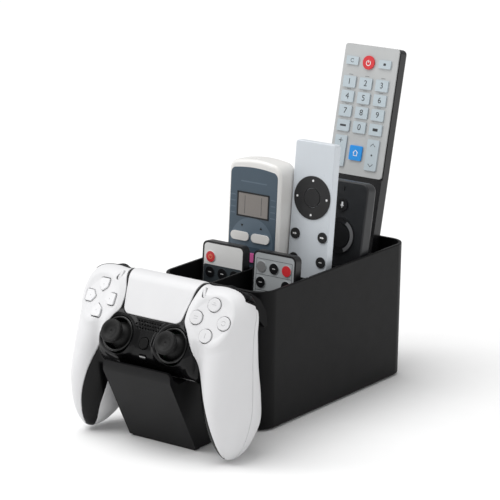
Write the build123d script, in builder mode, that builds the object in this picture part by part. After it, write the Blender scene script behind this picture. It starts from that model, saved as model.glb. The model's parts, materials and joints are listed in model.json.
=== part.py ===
from build123d import *
import os
from math import atan, cos, degrees, radians, sin, sqrt, tan

# Desk organiser with a game-controller stand on its front wall, a two-grip wireless
# controller resting on the stand, and six remote controls in the compartments.
# Millimetres. +Z is up, the stand faces -Y. Origin: centre of the organiser's base, on the ground.

os.makedirs("parts", exist_ok=True)

# ---- Driving dimensions: organiser ----
pad_thickness = 1.2      # soft pads under the organiser and the stand
pad_inset = 5            # from the edge of the base to the pad
box_width = 106          # over the rim, X
box_depth = 202          # over the rim, Y
box_height = 115         # ground to rim
box_draft = 2            # the base is this much smaller than the rim, each side
box_wall = 2.6
box_floor = 3
box_corner = 16          # outer corner radius at the rim
base_edge = 2            # rounding where the walls meet the floor outside
rim_edge = 0.8
divider_thickness = 2.2
divider_drop = 1.5       # divider tops below the rim
groove_depth = 0.8       # the dividers slide down grooves in the walls
groove_fit = 0.1
front_divider_y = -40
middle_divider_y = 5
rear_divider_y = 52
centre_divider_x = -4
seat_gap = 0.3           # clearance where one piece rests against another

# ---- Driving dimensions: stand ----
stand_width = 66         # front plate
stand_side_step = 1.2    # the side walls are set in from the front plate
stand_wall = 2.4
stand_plate = 4
stand_base_reach = 61.8  # front wall of the box to the foot of the front plate
stand_lip_reach = 93.2   # ... and to the face of the lip
lip_foot = 62            # height where the sloping plate turns into the lip
lip_top = 70
lip_thickness = 3
lip_corner = 4
ramp_top = 100
stand_screw_x = 20
stand_screw_z = 84
stand_screw_radius = 1.5
stand_screw_length = 11
stand_screw_head = 3

# ---- Driving dimensions: controller ----
lean = 28.4              # how far the controller leans back on the stand
controller_reach = 70.3  # box front to the controller's reference point
controller_height = 111  # ground to the reference point
shell_wall = 2.2
trim_wall = 1.8
bridge_drop = 2.0        # the front cover's middle lies this far under the trim
bridge_thickness = 2
seam_gap = 0.25          # between neighbouring covers
core_half = 46           # middle block, half width
core_top = 30
core_bottom = -45
core_depth = 31
core_front_round = 18    # bottom front edge
core_back_round = 8
core_top_round = 12
shoulder_half, shoulder_low = 38, 22   # the block's top corners slope from here to its sides
# grip sections: height, centre across, centre in depth, half width, half depth
grip_sections = [
    (27, 53, -17, 15, 9),
    (19, 54, -18, 22, 15),
    (0, 55.5, -21, 25, 20.5),
    (-20, 58.5, -27, 22, 24.5),
    (-40, 62, -35.5, 18.8, 27),
    (-58, 64.5, -42, 16.5, 26.5),
    (-73, 66, -46, 14, 23),
    (-85, 67.5, -49, 10.5, 16),
    (-92, 68.2, -50.5, 5, 8),
]
# parting line between the front and back covers: height, depth
parting = [(40, -19), (0, -21.5), (-30, -34), (-55, -45), (-95, -56)]
# inner edge of the white wings: height, distance from the middle
trim_edge = [(27, 36.6), (2, 30.6), (-6, 31.6), (-12, 35.8), (-26, 44.6),
             (-41, 52.6), (-59, 59.2), (-74, 64.6), (-96, 70)]
pad_top_half, pad_bottom_half = 35.4, 27.6   # touchpad
pad_top_v, pad_bottom_v = 34, -8.2
pad_corner = 5
cluster_u = 53.5         # centre of each button group, from the middle
cluster_tilt = 6         # the wings fall away outwards
face_radius = 12.3
face_button_radius = 5.3
key_reach = 10.2         # direction keys, centre to key centre
key_width, key_length = 9.4, 10.6
key_travel = 1.0
flange = 0.9             # each key has a flange that keeps it in its hole
flange_drop = 2.7        # flange top below the surface
flange_thickness = 1.1
key_proud = 1.1
key_hole_gap = 0.3
stick_u, stick_v = 26.5, -25
stick_pivot_w = -9
stick_cap_radius = 9.3
stick_cap_w = 6          # underside of the cap
stick_cap_thickness = 5
stick_neck_radius = 4
dome_radius = 11.5
dome_wall = 1.5
ring_radius = 14.2
ring_opening = 12.4
ring_throat = 11
ring_proud = 1.6
ring_depth = 3.5
module_size = 17
module_top_w = -13.4
board_top_w = -21.9
board_thickness = 1.5
frame_thickness = 1.2
battery_size = (58, 38)
case_screws_at = [(38.5, -10), (40, -39)]
boss_radius = 3
case_screw_radius = 1
trigger_inner, trigger_outer = 40, 63
trigger_pivot = (19, -25)
trigger_pin_radius = 1.3
pin_fit = 0.05
bumper_inner, bumper_outer = 37, 67
motor_radius, motor_length = 9, 16

# ---- Driving dimensions: remotes ----
# width, thickness, length, lean angle; then the middle of each across the organiser
mini_width, mini_thickness, mini_length, mini_lean = 42, 8.5, 127, 5
ac_width, ac_thickness, ac_length, ac_lean = 52, 22.5, 190, 4
slim_width, slim_thickness, slim_length, slim_lean = 38.5, 9, 208, 6.7
voice_width, voice_thickness, voice_length, voice_lean = 46, 14, 168.5, 11
tall_width, tall_thickness, tall_length, tall_lean = 55, 12, 270, 13.7
mini_left_x, mini_right_x = -27, 24
ac_x, slim_x = -22, 24.3
voice_x, tall_x = 25, -0.5
face_recess = 0.6        # face plates lie in a recess this deep
key_height = 1.2         # rubber keys above the face

# ---- Worked out from the above ----
floor_top = pad_thickness + box_floor
rim_span = box_height - pad_thickness
draft_angle = degrees(atan(box_draft / rim_span))
front_y = -box_depth / 2


def inset_at(z):
    """How far the outer wall is set in from the rim's outline at height z."""
    return box_draft * (box_height - z) / rim_span


def finish(piece, name):
    piece.part.label = name
    export_step(piece.part, f"parts/{name}.step")


# ================= Organiser =================
divider_top = box_height - divider_drop


def divider_outline(y_low, grow):
    """Half width of a cross divider at a height, with its edges in the grooves."""
    return box_width / 2 - inset_at(y_low) - box_wall + groove_depth - groove_fit + grow


with BuildPart() as organiser_box:
    with BuildSketch(Plane.XY.offset(pad_thickness)):
        RectangleRounded(box_width - 2 * box_draft, box_depth - 2 * box_draft, box_corner - box_draft)
    extrude(amount=rim_span, taper=-draft_angle)
    fillet(organiser_box.edges().group_by(Axis.Z)[0], base_edge)
    fillet(organiser_box.edges().group_by(Axis.Z)[-1], rim_edge)
    cavity_inset = 2 * (inset_at(floor_top) + box_wall)
    with BuildSketch(Plane.XY.offset(floor_top)):
        RectangleRounded(box_width - cavity_inset, box_depth - cavity_inset,
                         box_corner - inset_at(floor_top) - box_wall)
    extrude(amount=box_height - floor_top + 1, taper=-draft_angle, mode=Mode.SUBTRACT)
    for divider_y in (front_divider_y, middle_divider_y, rear_divider_y):
        with BuildSketch(Plane.XZ.offset(-divider_y)):
            low = divider_outline(floor_top, groove_fit)
            high = divider_outline(box_height, groove_fit)
            Polygon((-low, floor_top), (low, floor_top), (high, box_height), (-high, box_height), align=None)
        extrude(amount=divider_thickness / 2 + groove_fit, both=True, mode=Mode.SUBTRACT)
    with BuildSketch(Plane.YZ.offset(centre_divider_x)):
        wall_low = front_y + inset_at(floor_top) + box_wall - groove_depth
        wall_high = front_y + box_wall - groove_depth
        Polygon((wall_low, floor_top), (front_divider_y, floor_top), (front_divider_y, box_height),
                (wall_high, box_height), align=None)
    extrude(amount=divider_thickness / 2 + groove_fit, both=True, mode=Mode.SUBTRACT)
    # screw holes for the stand, square to the drafted front wall
    front_wall = Plane(origin=(0, front_y + inset_at(stand_screw_z), stand_screw_z), x_dir=(1, 0, 0),
                       z_dir=(0, -cos(radians(draft_angle)), -sin(radians(draft_angle))))
    with BuildSketch(front_wall.offset(1)):
        with Locations((-stand_screw_x, 0), (stand_screw_x, 0)):
            Circle(stand_screw_radius)
    extrude(amount=-box_wall - 2, mode=Mode.SUBTRACT)
finish(organiser_box, "organiser_box")


def cross_divider(y):
    with BuildPart() as panel:
        with BuildSketch(Plane.XZ.offset(-y)):
            low = divider_outline(floor_top, 0)
            high = divider_outline(divider_top, 0)
            Polygon((-low, floor_top), (low, floor_top), (high, divider_top), (-high, divider_top),
                    align=None)
        extrude(amount=divider_thickness / 2, both=True)
        fillet(panel.faces().sort_by(Axis.Z)[-1].edges().filter_by(Axis.X), rim_edge)
    return panel


finish(cross_divider(front_divider_y), "front_divider")
finish(cross_divider(middle_divider_y), "middle_divider")
finish(cross_divider(rear_divider_y), "rear_divider")

with BuildPart() as centre_divider:
    with BuildSketch(Plane.YZ.offset(centre_divider_x)):
        panel_back = front_divider_y - divider_thickness / 2
        panel_low = front_y + inset_at(floor_top) + box_wall - groove_depth + groove_fit
        panel_high = front_y + inset_at(divider_top) + box_wall - groove_depth + groove_fit
        Polygon((panel_low, floor_top), (panel_back, floor_top), (panel_back, divider_top),
                (panel_high, divider_top), align=None)
    extrude(amount=divider_thickness / 2, both=True)
    fillet(centre_divider.faces().sort_by(Axis.Z)[-1].edges().filter_by(Axis.Y), rim_edge)
finish(centre_divider, "centre_divider")

# ================= Stand =================
lip_y = front_y - stand_lip_reach
foot_y = front_y - stand_base_reach
reference = Vector(0, front_y - controller_reach, controller_height)
ctl = Plane(origin=reference, x_dir=(1, 0, 0),
            z_dir=(0, -cos(radians(lean)), sin(radians(lean))))


def side_point(v, w):
    """Y and Z of a point on the middle plane of the controller: v up the face, w out of it."""
    point = ctl.from_local_coords(Vector(0, v, w))
    return (point.Y, point.Z)


back_round_y, back_round_z = side_point(core_bottom + core_back_round, -core_depth + core_back_round)
cradle_floor = back_round_z - core_back_round - seat_gap
ramp_w = -core_depth - seat_gap
ramp_foot_v = (cradle_floor - controller_height - ramp_w * sin(radians(lean))) / cos(radians(lean))
ramp_top_v = (ramp_top - controller_height - ramp_w * sin(radians(lean))) / cos(radians(lean))
stand_profile = [
    (foot_y, pad_thickness), (lip_y, lip_foot), (lip_y, lip_top), (lip_y + lip_thickness, lip_top),
    (lip_y + lip_thickness + 2, lip_top - 6), (back_round_y - 13, cradle_floor),
    side_point(ramp_foot_v, ramp_w), side_point(ramp_top_v, ramp_w),
    (front_y + inset_at(ramp_top), ramp_top), (front_y + inset_at(pad_thickness), pad_thickness),
]
plate_slope = atan((foot_y - lip_y) / (lip_foot - pad_thickness))
with BuildPart() as controller_stand:
    with BuildSketch(Plane.YZ):
        Polygon(*stand_profile, align=None)
    extrude(amount=stand_width / 2 - stand_side_step, both=True)
    # the front plate stands proud of the side walls and carries the lip
    plate_run = stand_plate / cos(plate_slope)
    with BuildSketch(Plane.YZ):
        Polygon((foot_y, pad_thickness), (lip_y, lip_foot), (lip_y, lip_top),
                (lip_y + lip_thickness, lip_top), (lip_y + plate_run, lip_foot),
                (foot_y + plate_run, pad_thickness), align=None)
    extrude(amount=stand_width / 2, both=True)
    with BuildSketch(Plane.XZ.offset(1 - lip_y)):
        for side in (-1, 1):
            with Locations((side * (stand_width - lip_corner) / 2, lip_top - lip_corner / 2)):
                Rectangle(lip_corner, lip_corner)
            with Locations((side * (stand_width / 2 - lip_corner), lip_top - lip_corner)):
                Circle(lip_corner, mode=Mode.SUBTRACT)
    extrude(amount=-lip_thickness - 5, mode=Mode.SUBTRACT)
    # hollow, open underneath
    with BuildSketch(Plane.YZ):
        Polygon(*stand_profile, align=None)
        offset(amount=-stand_wall, kind=Kind.INTERSECTION, mode=Mode.REPLACE)
        with Locations((foot_y + stand_wall + 3, pad_thickness)):
            Rectangle(stand_base_reach - 2 * stand_wall - 3, 2 * stand_wall + 1,
                      align=(Align.MIN, Align.CENTER))
    extrude(amount=stand_width / 2 - stand_side_step - stand_wall, both=True, mode=Mode.SUBTRACT)
    boss_plane = front_wall.offset(stand_wall)
    with BuildSketch(boss_plane):
        with Locations((-stand_screw_x, 0), (stand_screw_x, 0)):
            Circle(stand_screw_radius + 2.2)
    extrude(amount=stand_screw_length - stand_wall - box_wall + 1)
    with BuildSketch(front_wall):
        with Locations((-stand_screw_x, 0), (stand_screw_x, 0)):
            Circle(stand_screw_radius)
    extrude(amount=stand_screw_length - box_wall + 0.5, mode=Mode.SUBTRACT)
finish(controller_stand, "controller_stand")

with BuildPart() as stand_screws:
    with BuildSketch(front_wall.offset(-box_wall)):
        with Locations((-stand_screw_x, 0), (stand_screw_x, 0)):
            Circle(stand_screw_radius)
    extrude(amount=stand_screw_length)
    with BuildSketch(front_wall.offset(-box_wall)):
        with Locations((-stand_screw_x, 0), (stand_screw_x, 0)):
            Circle(stand_screw_head)
    extrude(amount=-1.8)
finish(stand_screws, "stand_screws")

with BuildPart() as base_pads:
    with BuildSketch():
        RectangleRounded(box_width - 2 * (box_draft + pad_inset), box_depth - 2 * (box_draft + pad_inset),
                         box_corner - box_draft - pad_inset)
    extrude(amount=pad_thickness)
    with BuildSketch():
        with Locations((0, foot_y + 1)):
            Rectangle(stand_width - 2 * stand_side_step - 2, stand_wall, align=(Align.CENTER, Align.MIN))
    extrude(amount=pad_thickness)
finish(base_pads, "base_pads")

# ================= Controller =================
side_plane = Plane(origin=reference, x_dir=ctl.y_dir, z_dir=(1, 0, 0))   # x: up the face, y: out of it


def controller_form(inset):
    """The controller's outer form drawn in by inset: a middle block and two grips."""
    with BuildPart() as form:
        with BuildSketch(side_plane) as outline:
            with Locations(((core_top + core_bottom) / 2, -core_depth / 2)):
                Rectangle(core_top - core_bottom, core_depth)
            fillet(outline.vertices().group_by(Axis.X)[0].sort_by(Axis.Y)[-1], core_front_round)
            fillet(outline.vertices().group_by(Axis.X)[-1].sort_by(Axis.Y)[-1], core_top_round)
            fillet(outline.vertices().sort_by(Axis.Y)[:2], core_back_round)
            if inset:
                offset(amount=-inset, mode=Mode.REPLACE)
        extrude(amount=core_half, both=True)
        with BuildSketch(ctl.offset(-core_depth - 5)):
            Polygon((-core_half, -60), (core_half, -60), (core_half, shoulder_low), (shoulder_half, core_top),
                    (-shoulder_half, core_top), (-core_half, shoulder_low), align=None)
            if inset:
                offset(amount=-inset, kind=Kind.INTERSECTION, mode=Mode.REPLACE)
        extrude(amount=core_depth + 10, mode=Mode.INTERSECT)
        last = len(grip_sections) - 1
        for side in (-1, 1):
            for index, (v, u, w, half_width, half_depth) in enumerate(grip_sections):
                end_shift = {0: -inset, last: inset}.get(index, 0)
                centre = ctl.from_local_coords(Vector(side * u, v + end_shift, w))
                with BuildSketch(Plane(origin=centre, x_dir=(1, 0, 0), z_dir=ctl.y_dir)):
                    Ellipse(half_width - inset, half_depth - inset)
            loft()
    return form.part


def above_parting(gap):
    """Everything in front of the seam, which stays level in the middle and drops along the grips."""
    with BuildPart() as prism:
        with BuildSketch(side_plane):
            Polygon((-110, 30), (-110, parting[1][1] + gap), (60, parting[1][1] + gap), (60, 30), align=None)
        extrude(amount=core_half - 2, both=True)
        for side in (-1, 1):
            with BuildSketch(side_plane.offset(side * (core_half - 2))):
                seam = [(v, w + gap) for v, w in parting]
                Polygon((-110, 30), (-110, parting[-1][1] - 6 + gap), *reversed(seam),
                        (60, parting[0][1] + gap), (60, 30), align=None)
            extrude(amount=side * 60)
    return prism.part


def trim_prism(grow, v_low=-120):
    """Plan outline of the black middle, as a prism: between the inner edges of the wings."""
    edge = [(u + grow, v) for v, u in trim_edge if v > v_low]
    edge = [(edge[0][0] + 1.2, 45)] + edge + [(edge[-1][0] + (2 if v_low < -100 else 0), v_low)]
    with BuildPart() as prism:
        with BuildSketch(ctl.offset(-75)):
            Polygon(*edge, *[(-u, v) for u, v in reversed(edge)], align=None)
        extrude(amount=100)
    return prism.part


def touchpad_prism(grow):
    with BuildPart() as prism:
        with BuildSketch(ctl.offset(-12)) as plan:
            Polygon((-pad_top_half - grow, pad_top_v + grow), (pad_top_half + grow, pad_top_v + grow),
                    (pad_bottom_half + grow, pad_bottom_v - grow),
                    (-pad_bottom_half - grow, pad_bottom_v - grow), align=None)
            fillet(plan.vertices().group_by(Axis.Y)[0], pad_corner + grow)
        extrude(amount=30)
    return prism.part


# ---- keys: each slides in a hole of its cover and is kept by a flange underneath ----
def tilted(u, v, w, across, along):
    """A plane on the face at (u, v, w), tipped outwards by `across` and downwards by `along` degrees."""
    normal = (ctl.x_dir * sin(radians(across)) - ctl.y_dir * sin(radians(along))
              + ctl.z_dir * cos(radians(max(abs(across), abs(along)))))
    x_axis = ctl.x_dir * cos(radians(across)) - ctl.z_dir * sin(radians(across))
    return Plane(origin=ctl.from_local_coords(Vector(u, v, w)), x_dir=x_axis, z_dir=normal)


cluster_w = -0.4
left_cluster = tilted(-cluster_u, 0, cluster_w, -cluster_tilt, 0)
right_cluster = tilted(cluster_u, 0, cluster_w, cluster_tilt, 0)


def spoke(cluster, angle, reach):
    """Plane of a key at an angle round its cluster, with x pointing away from the centre."""
    outward = cluster.x_dir * cos(radians(angle)) + cluster.y_dir * sin(radians(angle))
    return Plane(origin=cluster.origin + outward * reach, x_dir=outward, z_dir=cluster.z_dir)


def round_key(radius):
    return lambda grow: Circle(radius + grow)


def bar_key(length, width):
    return lambda grow: SlotOverall(length + 2 * grow, width + 2 * grow)


def arrow_key(grow):
    """A direction key: straight outer end, pointed inner end."""
    half, out, shoulder, tip = key_width / 2 + grow, key_length / 2 + grow, -1.5, -key_length / 2 - grow
    outline = Polygon((out, -half), (out, half), (shoulder, half), (tip, 0), (shoulder, -half), align=None)
    fillet(outline.vertices(), 1.6)


stem_drop = 1.4          # each stem reaches this far below its flange


def key(plane, draw, drop, proud):
    with BuildPart() as body:
        with BuildSketch(plane.offset(-drop - flange_thickness)):
            draw(flange)
        extrude(amount=flange_thickness)
        with BuildSketch(plane.offset(-drop)):
            draw(0)
        extrude(amount=drop + proud)
        fillet(body.faces().sort_by(Axis(plane.origin, plane.z_dir))[-1].edges(), min(0.5, proud * 0.8))
        with BuildSketch(plane.offset(-drop - flange_thickness)):
            draw(-1.0)
        extrude(amount=-stem_drop)
    return body


def key_hole(plane, draw, drop):
    with BuildPart() as hole:
        with BuildSketch(plane.offset(-drop + seat_gap)):
            draw(flange + key_hole_gap)
        extrude(amount=-flange_thickness - stem_drop - key_travel - 4)
        with BuildSketch(plane.offset(-drop)):
            draw(key_hole_gap)
        extrude(amount=drop + 4)
    return hole.part


bridge_bottom = bridge_drop + bridge_thickness
home_v, mute_v = -28, -37.7
mute_slope = degrees(atan((core_bottom + core_front_round - mute_v)
                          / sqrt(core_front_round**2 - (core_bottom + core_front_round - mute_v)**2)))
mute_w = core_front_round * (cos(radians(mute_slope)) - 1)
menu_u, menu_v, menu_w, menu_slant = 41, 20, -0.6, 18
menu_drop = flange_drop + 1
cover_drop = bridge_bottom + seat_gap
compass = (("up", 90), ("left", 180), ("down", -90), ("right", 0))
round_names = (("top", 90), ("left", 180), ("bottom", -90), ("right", 0))
keys = {}
for word, angle in compass:
    keys[f"dpad_{word}"] = (spoke(left_cluster, angle, key_reach), arrow_key, flange_drop, key_proud)
for word, angle in round_names:
    place = spoke(right_cluster, angle, face_radius)
    keys[f"face_button_{word}"] = (place, round_key(face_button_radius), flange_drop, key_proud)
for word, side in (("create", -1), ("options", 1)):
    place = spoke(tilted(side * menu_u, menu_v, menu_w, 0, 0), 90 + side * menu_slant, 0)
    keys[f"{word}_button"] = (place, bar_key(8, 2.6), menu_drop, 0.7)
keys["home_button"] = (tilted(0, home_v, 0, 0, 0), round_key(4.4), cover_drop, 0.6)
keys["mute_button"] = (tilted(0, mute_v, mute_w, 0, mute_slope), bar_key(6.6, 2.2), cover_drop, 0.5)
for name, (plane, draw, drop, proud) in keys.items():
    finish(key(plane, draw, drop, proud), name)
key_holes = [key_hole(plane, draw, drop) for plane, draw, drop, proud in keys.values()]


# ---- bumpers and triggers, and the room they need in the covers ----
def bumper_outline(side, grow):
    points = [(bumper_inner - grow, 23 - grow), (bumper_inner - grow, 31.5 + grow), (56, 31.5 + grow),
              (bumper_outer - 1 + grow, 27.5 + grow), (bumper_outer + 2 + grow, 22.5 - grow)]
    Polygon(*[(side * u, v) for u, v in points], align=None)


bumper_back, bumper_front = -19.5, -9.5
bumper_pivot, bumper_boss = (39, 25.5), 1.5   # raised bearing faces round the pivot, at both ends
trigger_profile = [(28.5, -21), (31, -28), (29.5, -42), (23.5, -54), (14.5, -60.5), (11.5, -58.5), (15, -48),
                   (17, -38), (13, -30), (12, -22), (16, -20.8)]


def bumper(side):
    with BuildPart() as body:
        with BuildSketch(ctl.offset(bumper_back)):
            bumper_outline(side, 0)
        extrude(amount=bumper_front - bumper_back)
        fillet(body.edges().filter_by(lambda edge: (edge @ 0.5 - reference).dot(ctl.y_dir) > 26), 1.8)
        boss_height = seat_gap / 2
        with BuildSketch(ctl.offset(bumper_back - boss_height)):
            with Locations((side * bumper_pivot[0], bumper_pivot[1])):
                Circle(bumper_boss)
        extrude(amount=bumper_front - bumper_back + 2 * boss_height)
    return body


def trigger(side):
    with BuildPart() as body:
        with BuildSketch(side_plane.offset(side * trigger_inner)) as profile:
            Polygon(*trigger_profile, align=None)
            fillet(profile.vertices(), 1.2)
        extrude(amount=side * (trigger_outer - trigger_inner))
        with BuildSketch(side_plane.offset(side * trigger_inner)):
            with Locations(trigger_pivot):
                Circle(trigger_pin_radius + pin_fit)
        extrude(amount=side * (trigger_outer - trigger_inner), mode=Mode.SUBTRACT)
    return body


def shoulder_room(side):
    """Pockets for the bumper, with its travel, and for the trigger."""
    with BuildPart() as room:
        with BuildSketch(ctl.offset(bumper_back - seat_gap)):
            bumper_outline(side, seat_gap)
            bumper_low = 22.5 - seat_gap
            travel_room = ((bumper_inner, bumper_low), (bumper_outer + 3, bumper_low + 3),
                           (bumper_outer + 3, bumper_low - 1.6))
            Polygon(*[(side * u, v) for u, v in travel_room], align=None)
            Polygon(*[(side * u, v) for u, v in ((bumper_outer, 22), (56, 31), (56, 40), (90, 40), (90, 22))],
                    align=None)
        extrude(amount=bumper_front - bumper_back + 2 * seat_gap)
        with BuildSketch(side_plane.offset(side * (trigger_inner - 0.5))):
            Polygon((10.5, -19.5), (45, -19.5), (45, -70), (10.5, -70), align=None)
        extrude(amount=side * (trigger_outer - trigger_inner + 1))
    return room.part


for side, word in ((-1, "left"), (1, "right")):
    finish(bumper(side), f"{word}_bumper")
    finish(trigger(side), f"{word}_trigger")
shoulder_rooms = [shoulder_room(-1), shoulder_room(1)]

# ---- covers ----
outer_form = controller_form(0)
shell_inside = controller_form(shell_wall)
front_side, trim_plan = above_parting(0), trim_prism(-seam_gap)
port_w = board_top_w + 1.7
jack_w = board_top_w + 3.4
stick_places = [(-stick_u, stick_v), (stick_u, stick_v)]
with BuildPart() as port_openings:
    with BuildSketch(Plane(origin=ctl.from_local_coords(Vector(0, core_top - 8, port_w)),
                           x_dir=(1, 0, 0), z_dir=ctl.y_dir)):
        RectangleRounded(9.8, 4, 1.9)
    extrude(amount=12)
    with BuildSketch(Plane(origin=ctl.from_local_coords(Vector(0, core_bottom + 5, jack_w)),
                           x_dir=(1, 0, 0), z_dir=ctl.y_dir)):
        Circle(3.4)
    extrude(amount=-10)

with BuildPart() as front_cover:
    add(outer_form)
    add(shell_inside, mode=Mode.SUBTRACT)
    add(front_side, mode=Mode.INTERSECT)
    add(trim_prism(0), mode=Mode.SUBTRACT)
wings = front_cover.part
with BuildPart() as bridge:
    add(controller_form(bridge_drop))
    add(controller_form(bridge_bottom), mode=Mode.SUBTRACT)
    add(trim_prism(2.5, v_low=-42), mode=Mode.INTERSECT)
    add(above_parting(4), mode=Mode.INTERSECT)
    for u, v in case_screws_at:
        boss_top = -2 if v > -20 else -13
        with BuildSketch(ctl.offset(board_top_w)):
            with Locations((-u, v), (u, v)):
                Circle(boss_radius)
        extrude(amount=boss_top - board_top_w)
    add(touchpad_prism(seam_gap), mode=Mode.SUBTRACT)
    with BuildSketch(ctl.offset(-12)):
        with Locations(*stick_places):
            Circle(ring_radius + 0.5)
    extrude(amount=20, mode=Mode.SUBTRACT)
with BuildPart() as front_cover:
    add(wings)
    add(bridge.part)
    for room in shoulder_rooms + key_holes + [port_openings.part]:
        add(room, mode=Mode.SUBTRACT)
    with BuildSketch(ctl.offset(board_top_w)):
        for u, v in case_screws_at:
            with Locations((-u, v), (u, v)):
                Circle(case_screw_radius)
    extrude(amount=10, mode=Mode.SUBTRACT)
finish(front_cover, "front_cover")

with BuildPart() as centre_trim:
    add(outer_form)
    add(controller_form(trim_wall), mode=Mode.SUBTRACT)
    add(front_side, mode=Mode.INTERSECT)
    add(trim_plan, mode=Mode.INTERSECT)
    add(touchpad_prism(seam_gap), mode=Mode.SUBTRACT)
    with BuildSketch(ctl.offset(-12)):
        with Locations(*stick_places):
            Circle(ring_radius + 0.2)
    extrude(amount=20, mode=Mode.SUBTRACT)
    for room in shoulder_rooms + key_holes + [port_openings.part]:
        add(room, mode=Mode.SUBTRACT)
finish(centre_trim, "centre_trim")

# the touchpad rocks on a short round pin at each side of its top edge
pad_pivot_v, pad_pivot_w, pad_pivot_radius, pad_pivot_proud = 27.6, -8, 0.9, 0.05
pad_side_slope = (pad_top_half - pad_bottom_half) / (pad_top_v - pad_bottom_v)
pad_pivot_half = pad_bottom_half + (pad_pivot_v - pad_bottom_v) * pad_side_slope
with BuildPart() as touchpad:
    add(outer_form)
    add(controller_form(shell_wall), mode=Mode.SUBTRACT)
    add(touchpad_prism(0), mode=Mode.INTERSECT)
    for side in (-1, 1):
        with BuildSketch(side_plane.offset(side * (pad_pivot_half - 3))):
            with Locations((pad_pivot_v, pad_pivot_w)):
                Circle(pad_pivot_radius)
        extrude(amount=side * (3 + pad_pivot_proud))
finish(touchpad, "touchpad")

back_screw_head = 2.2
with BuildPart() as back_cover:
    add(outer_form)
    add(shell_inside, mode=Mode.SUBTRACT)
    add(above_parting(-seam_gap), mode=Mode.SUBTRACT)
    for u, v in case_screws_at:
        with BuildSketch(ctl.offset(board_top_w - board_thickness - frame_thickness)):
            with Locations((-u, v), (u, v)):
                Circle(boss_radius)
        extrude(amount=-core_depth + 1 - (board_top_w - board_thickness - frame_thickness))
    for room in shoulder_rooms + [port_openings.part]:
        add(room, mode=Mode.SUBTRACT)
    for u, v in case_screws_at:
        with BuildSketch(ctl.offset(board_top_w)):
            with Locations((-u, v), (u, v)):
                Circle(case_screw_radius)
        extrude(amount=-20, mode=Mode.SUBTRACT)
        with BuildSketch(ctl.offset(-core_depth + 1.6)):
            with Locations((-u, v), (u, v)):
                Circle(back_screw_head)
        extrude(amount=-10, mode=Mode.SUBTRACT)
finish(back_cover, "back_cover")

# ---- sticks: cap and dome on a shaft, carried by a gimbal on the stick module ----
ear_half_gap, ear_thickness = 6.4, 1.5
gimbal_u, gimbal_v, gimbal_half_height, gimbal_slot = 5.6, 4.8, 2.1, 3.7
shaft_radius = 2.4
gimbal_pin, shaft_pin = 1.2, 1.0


def stick(u):
    cap_low, cap_high = stick_cap_w - stick_pivot_w, stick_cap_w + stick_cap_thickness - stick_pivot_w
    dome_foot = 2.0
    pivot = ctl.from_local_coords(Vector(u, stick_v, stick_pivot_w))
    plane = Plane(origin=pivot, x_dir=ctl.x_dir, z_dir=-ctl.y_dir)
    with BuildPart() as body:
        with BuildSketch(plane):
            with BuildLine():
                dome_top = sqrt(dome_radius**2 - stick_neck_radius**2)
                dome_edge = sqrt(dome_radius**2 - dome_foot**2)
                inner = dome_radius - dome_wall
                inner_edge = sqrt(inner**2 - dome_foot**2)
                inner_top = sqrt(inner**2 - shaft_radius**2)
                Polyline((0, -3), (0, cap_high - 1), (stick_cap_radius - 3.4, cap_high - 1),
                         (stick_cap_radius - 2.2, cap_high), (stick_cap_radius - 1, cap_high),
                         (stick_cap_radius, cap_high - 1), (stick_cap_radius, cap_low + 1),
                         (stick_cap_radius - 1, cap_low), (stick_neck_radius, cap_low),
                         (stick_neck_radius, dome_top))
                RadiusArc((stick_neck_radius, dome_top), (dome_edge, dome_foot), dome_radius)
                Line((dome_edge, dome_foot), (inner_edge, dome_foot))
                RadiusArc((inner_edge, dome_foot), (shaft_radius, inner_top), -inner)
                Polyline((shaft_radius, inner_top), (shaft_radius, -3), (0, -3))
            make_face()
        revolve(axis=Axis(plane.origin, ctl.z_dir))
        with BuildSketch(Plane(origin=plane.origin, x_dir=ctl.x_dir, z_dir=ctl.y_dir)):
            Circle(shaft_pin)
        extrude(amount=gimbal_v, both=True)
    return body


def gimbal(u):
    centre = ctl.from_local_coords(Vector(u, stick_v, stick_pivot_w))
    with BuildPart() as body:
        with BuildSketch(Plane(origin=centre, x_dir=ctl.x_dir, z_dir=ctl.z_dir)):
            Rectangle(2 * gimbal_u, 2 * gimbal_v)
            Rectangle(2 * gimbal_slot, 2 * (shaft_radius + 0.3), mode=Mode.SUBTRACT)
        extrude(amount=gimbal_half_height, both=True)
        with BuildSketch(Plane(origin=centre, x_dir=ctl.x_dir, z_dir=ctl.y_dir)):
            Circle(shaft_pin + pin_fit)
        extrude(amount=gimbal_v + 1, both=True, mode=Mode.SUBTRACT)
        for end in (-1, 1):
            start = centre + ctl.x_dir * (end * (gimbal_u - 0.5))
            with BuildSketch(Plane(origin=start, x_dir=ctl.y_dir, z_dir=ctl.x_dir * end)):
                Circle(gimbal_pin)
            extrude(amount=ear_half_gap + ear_thickness - gimbal_u + 0.5)
    return body


for u, word in ((-stick_u, "left"), (stick_u, "right")):
    finish(stick(u), f"{word}_stick")
    finish(gimbal(u), f"{word}_gimbal")

with BuildPart() as stick_modules:
    with BuildSketch(ctl.offset(board_top_w)):
        with Locations(*stick_places):
            Rectangle(module_size, module_size)
    extrude(amount=module_top_w - board_top_w)
    for u, v in stick_places:
        for end in (-1, 1):
            with BuildSketch(side_plane.offset(u + end * ear_half_gap)):
                with Locations((v, (module_top_w + stick_pivot_w) / 2)):
                    Rectangle(4.4, stick_pivot_w - module_top_w)
                with Locations((v, stick_pivot_w)):
                    Circle(2.2)
                with Locations((v, stick_pivot_w)):
                    Circle(gimbal_pin + pin_fit, mode=Mode.SUBTRACT)
            extrude(amount=end * ear_thickness)
finish(stick_modules, "stick_modules")

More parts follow.
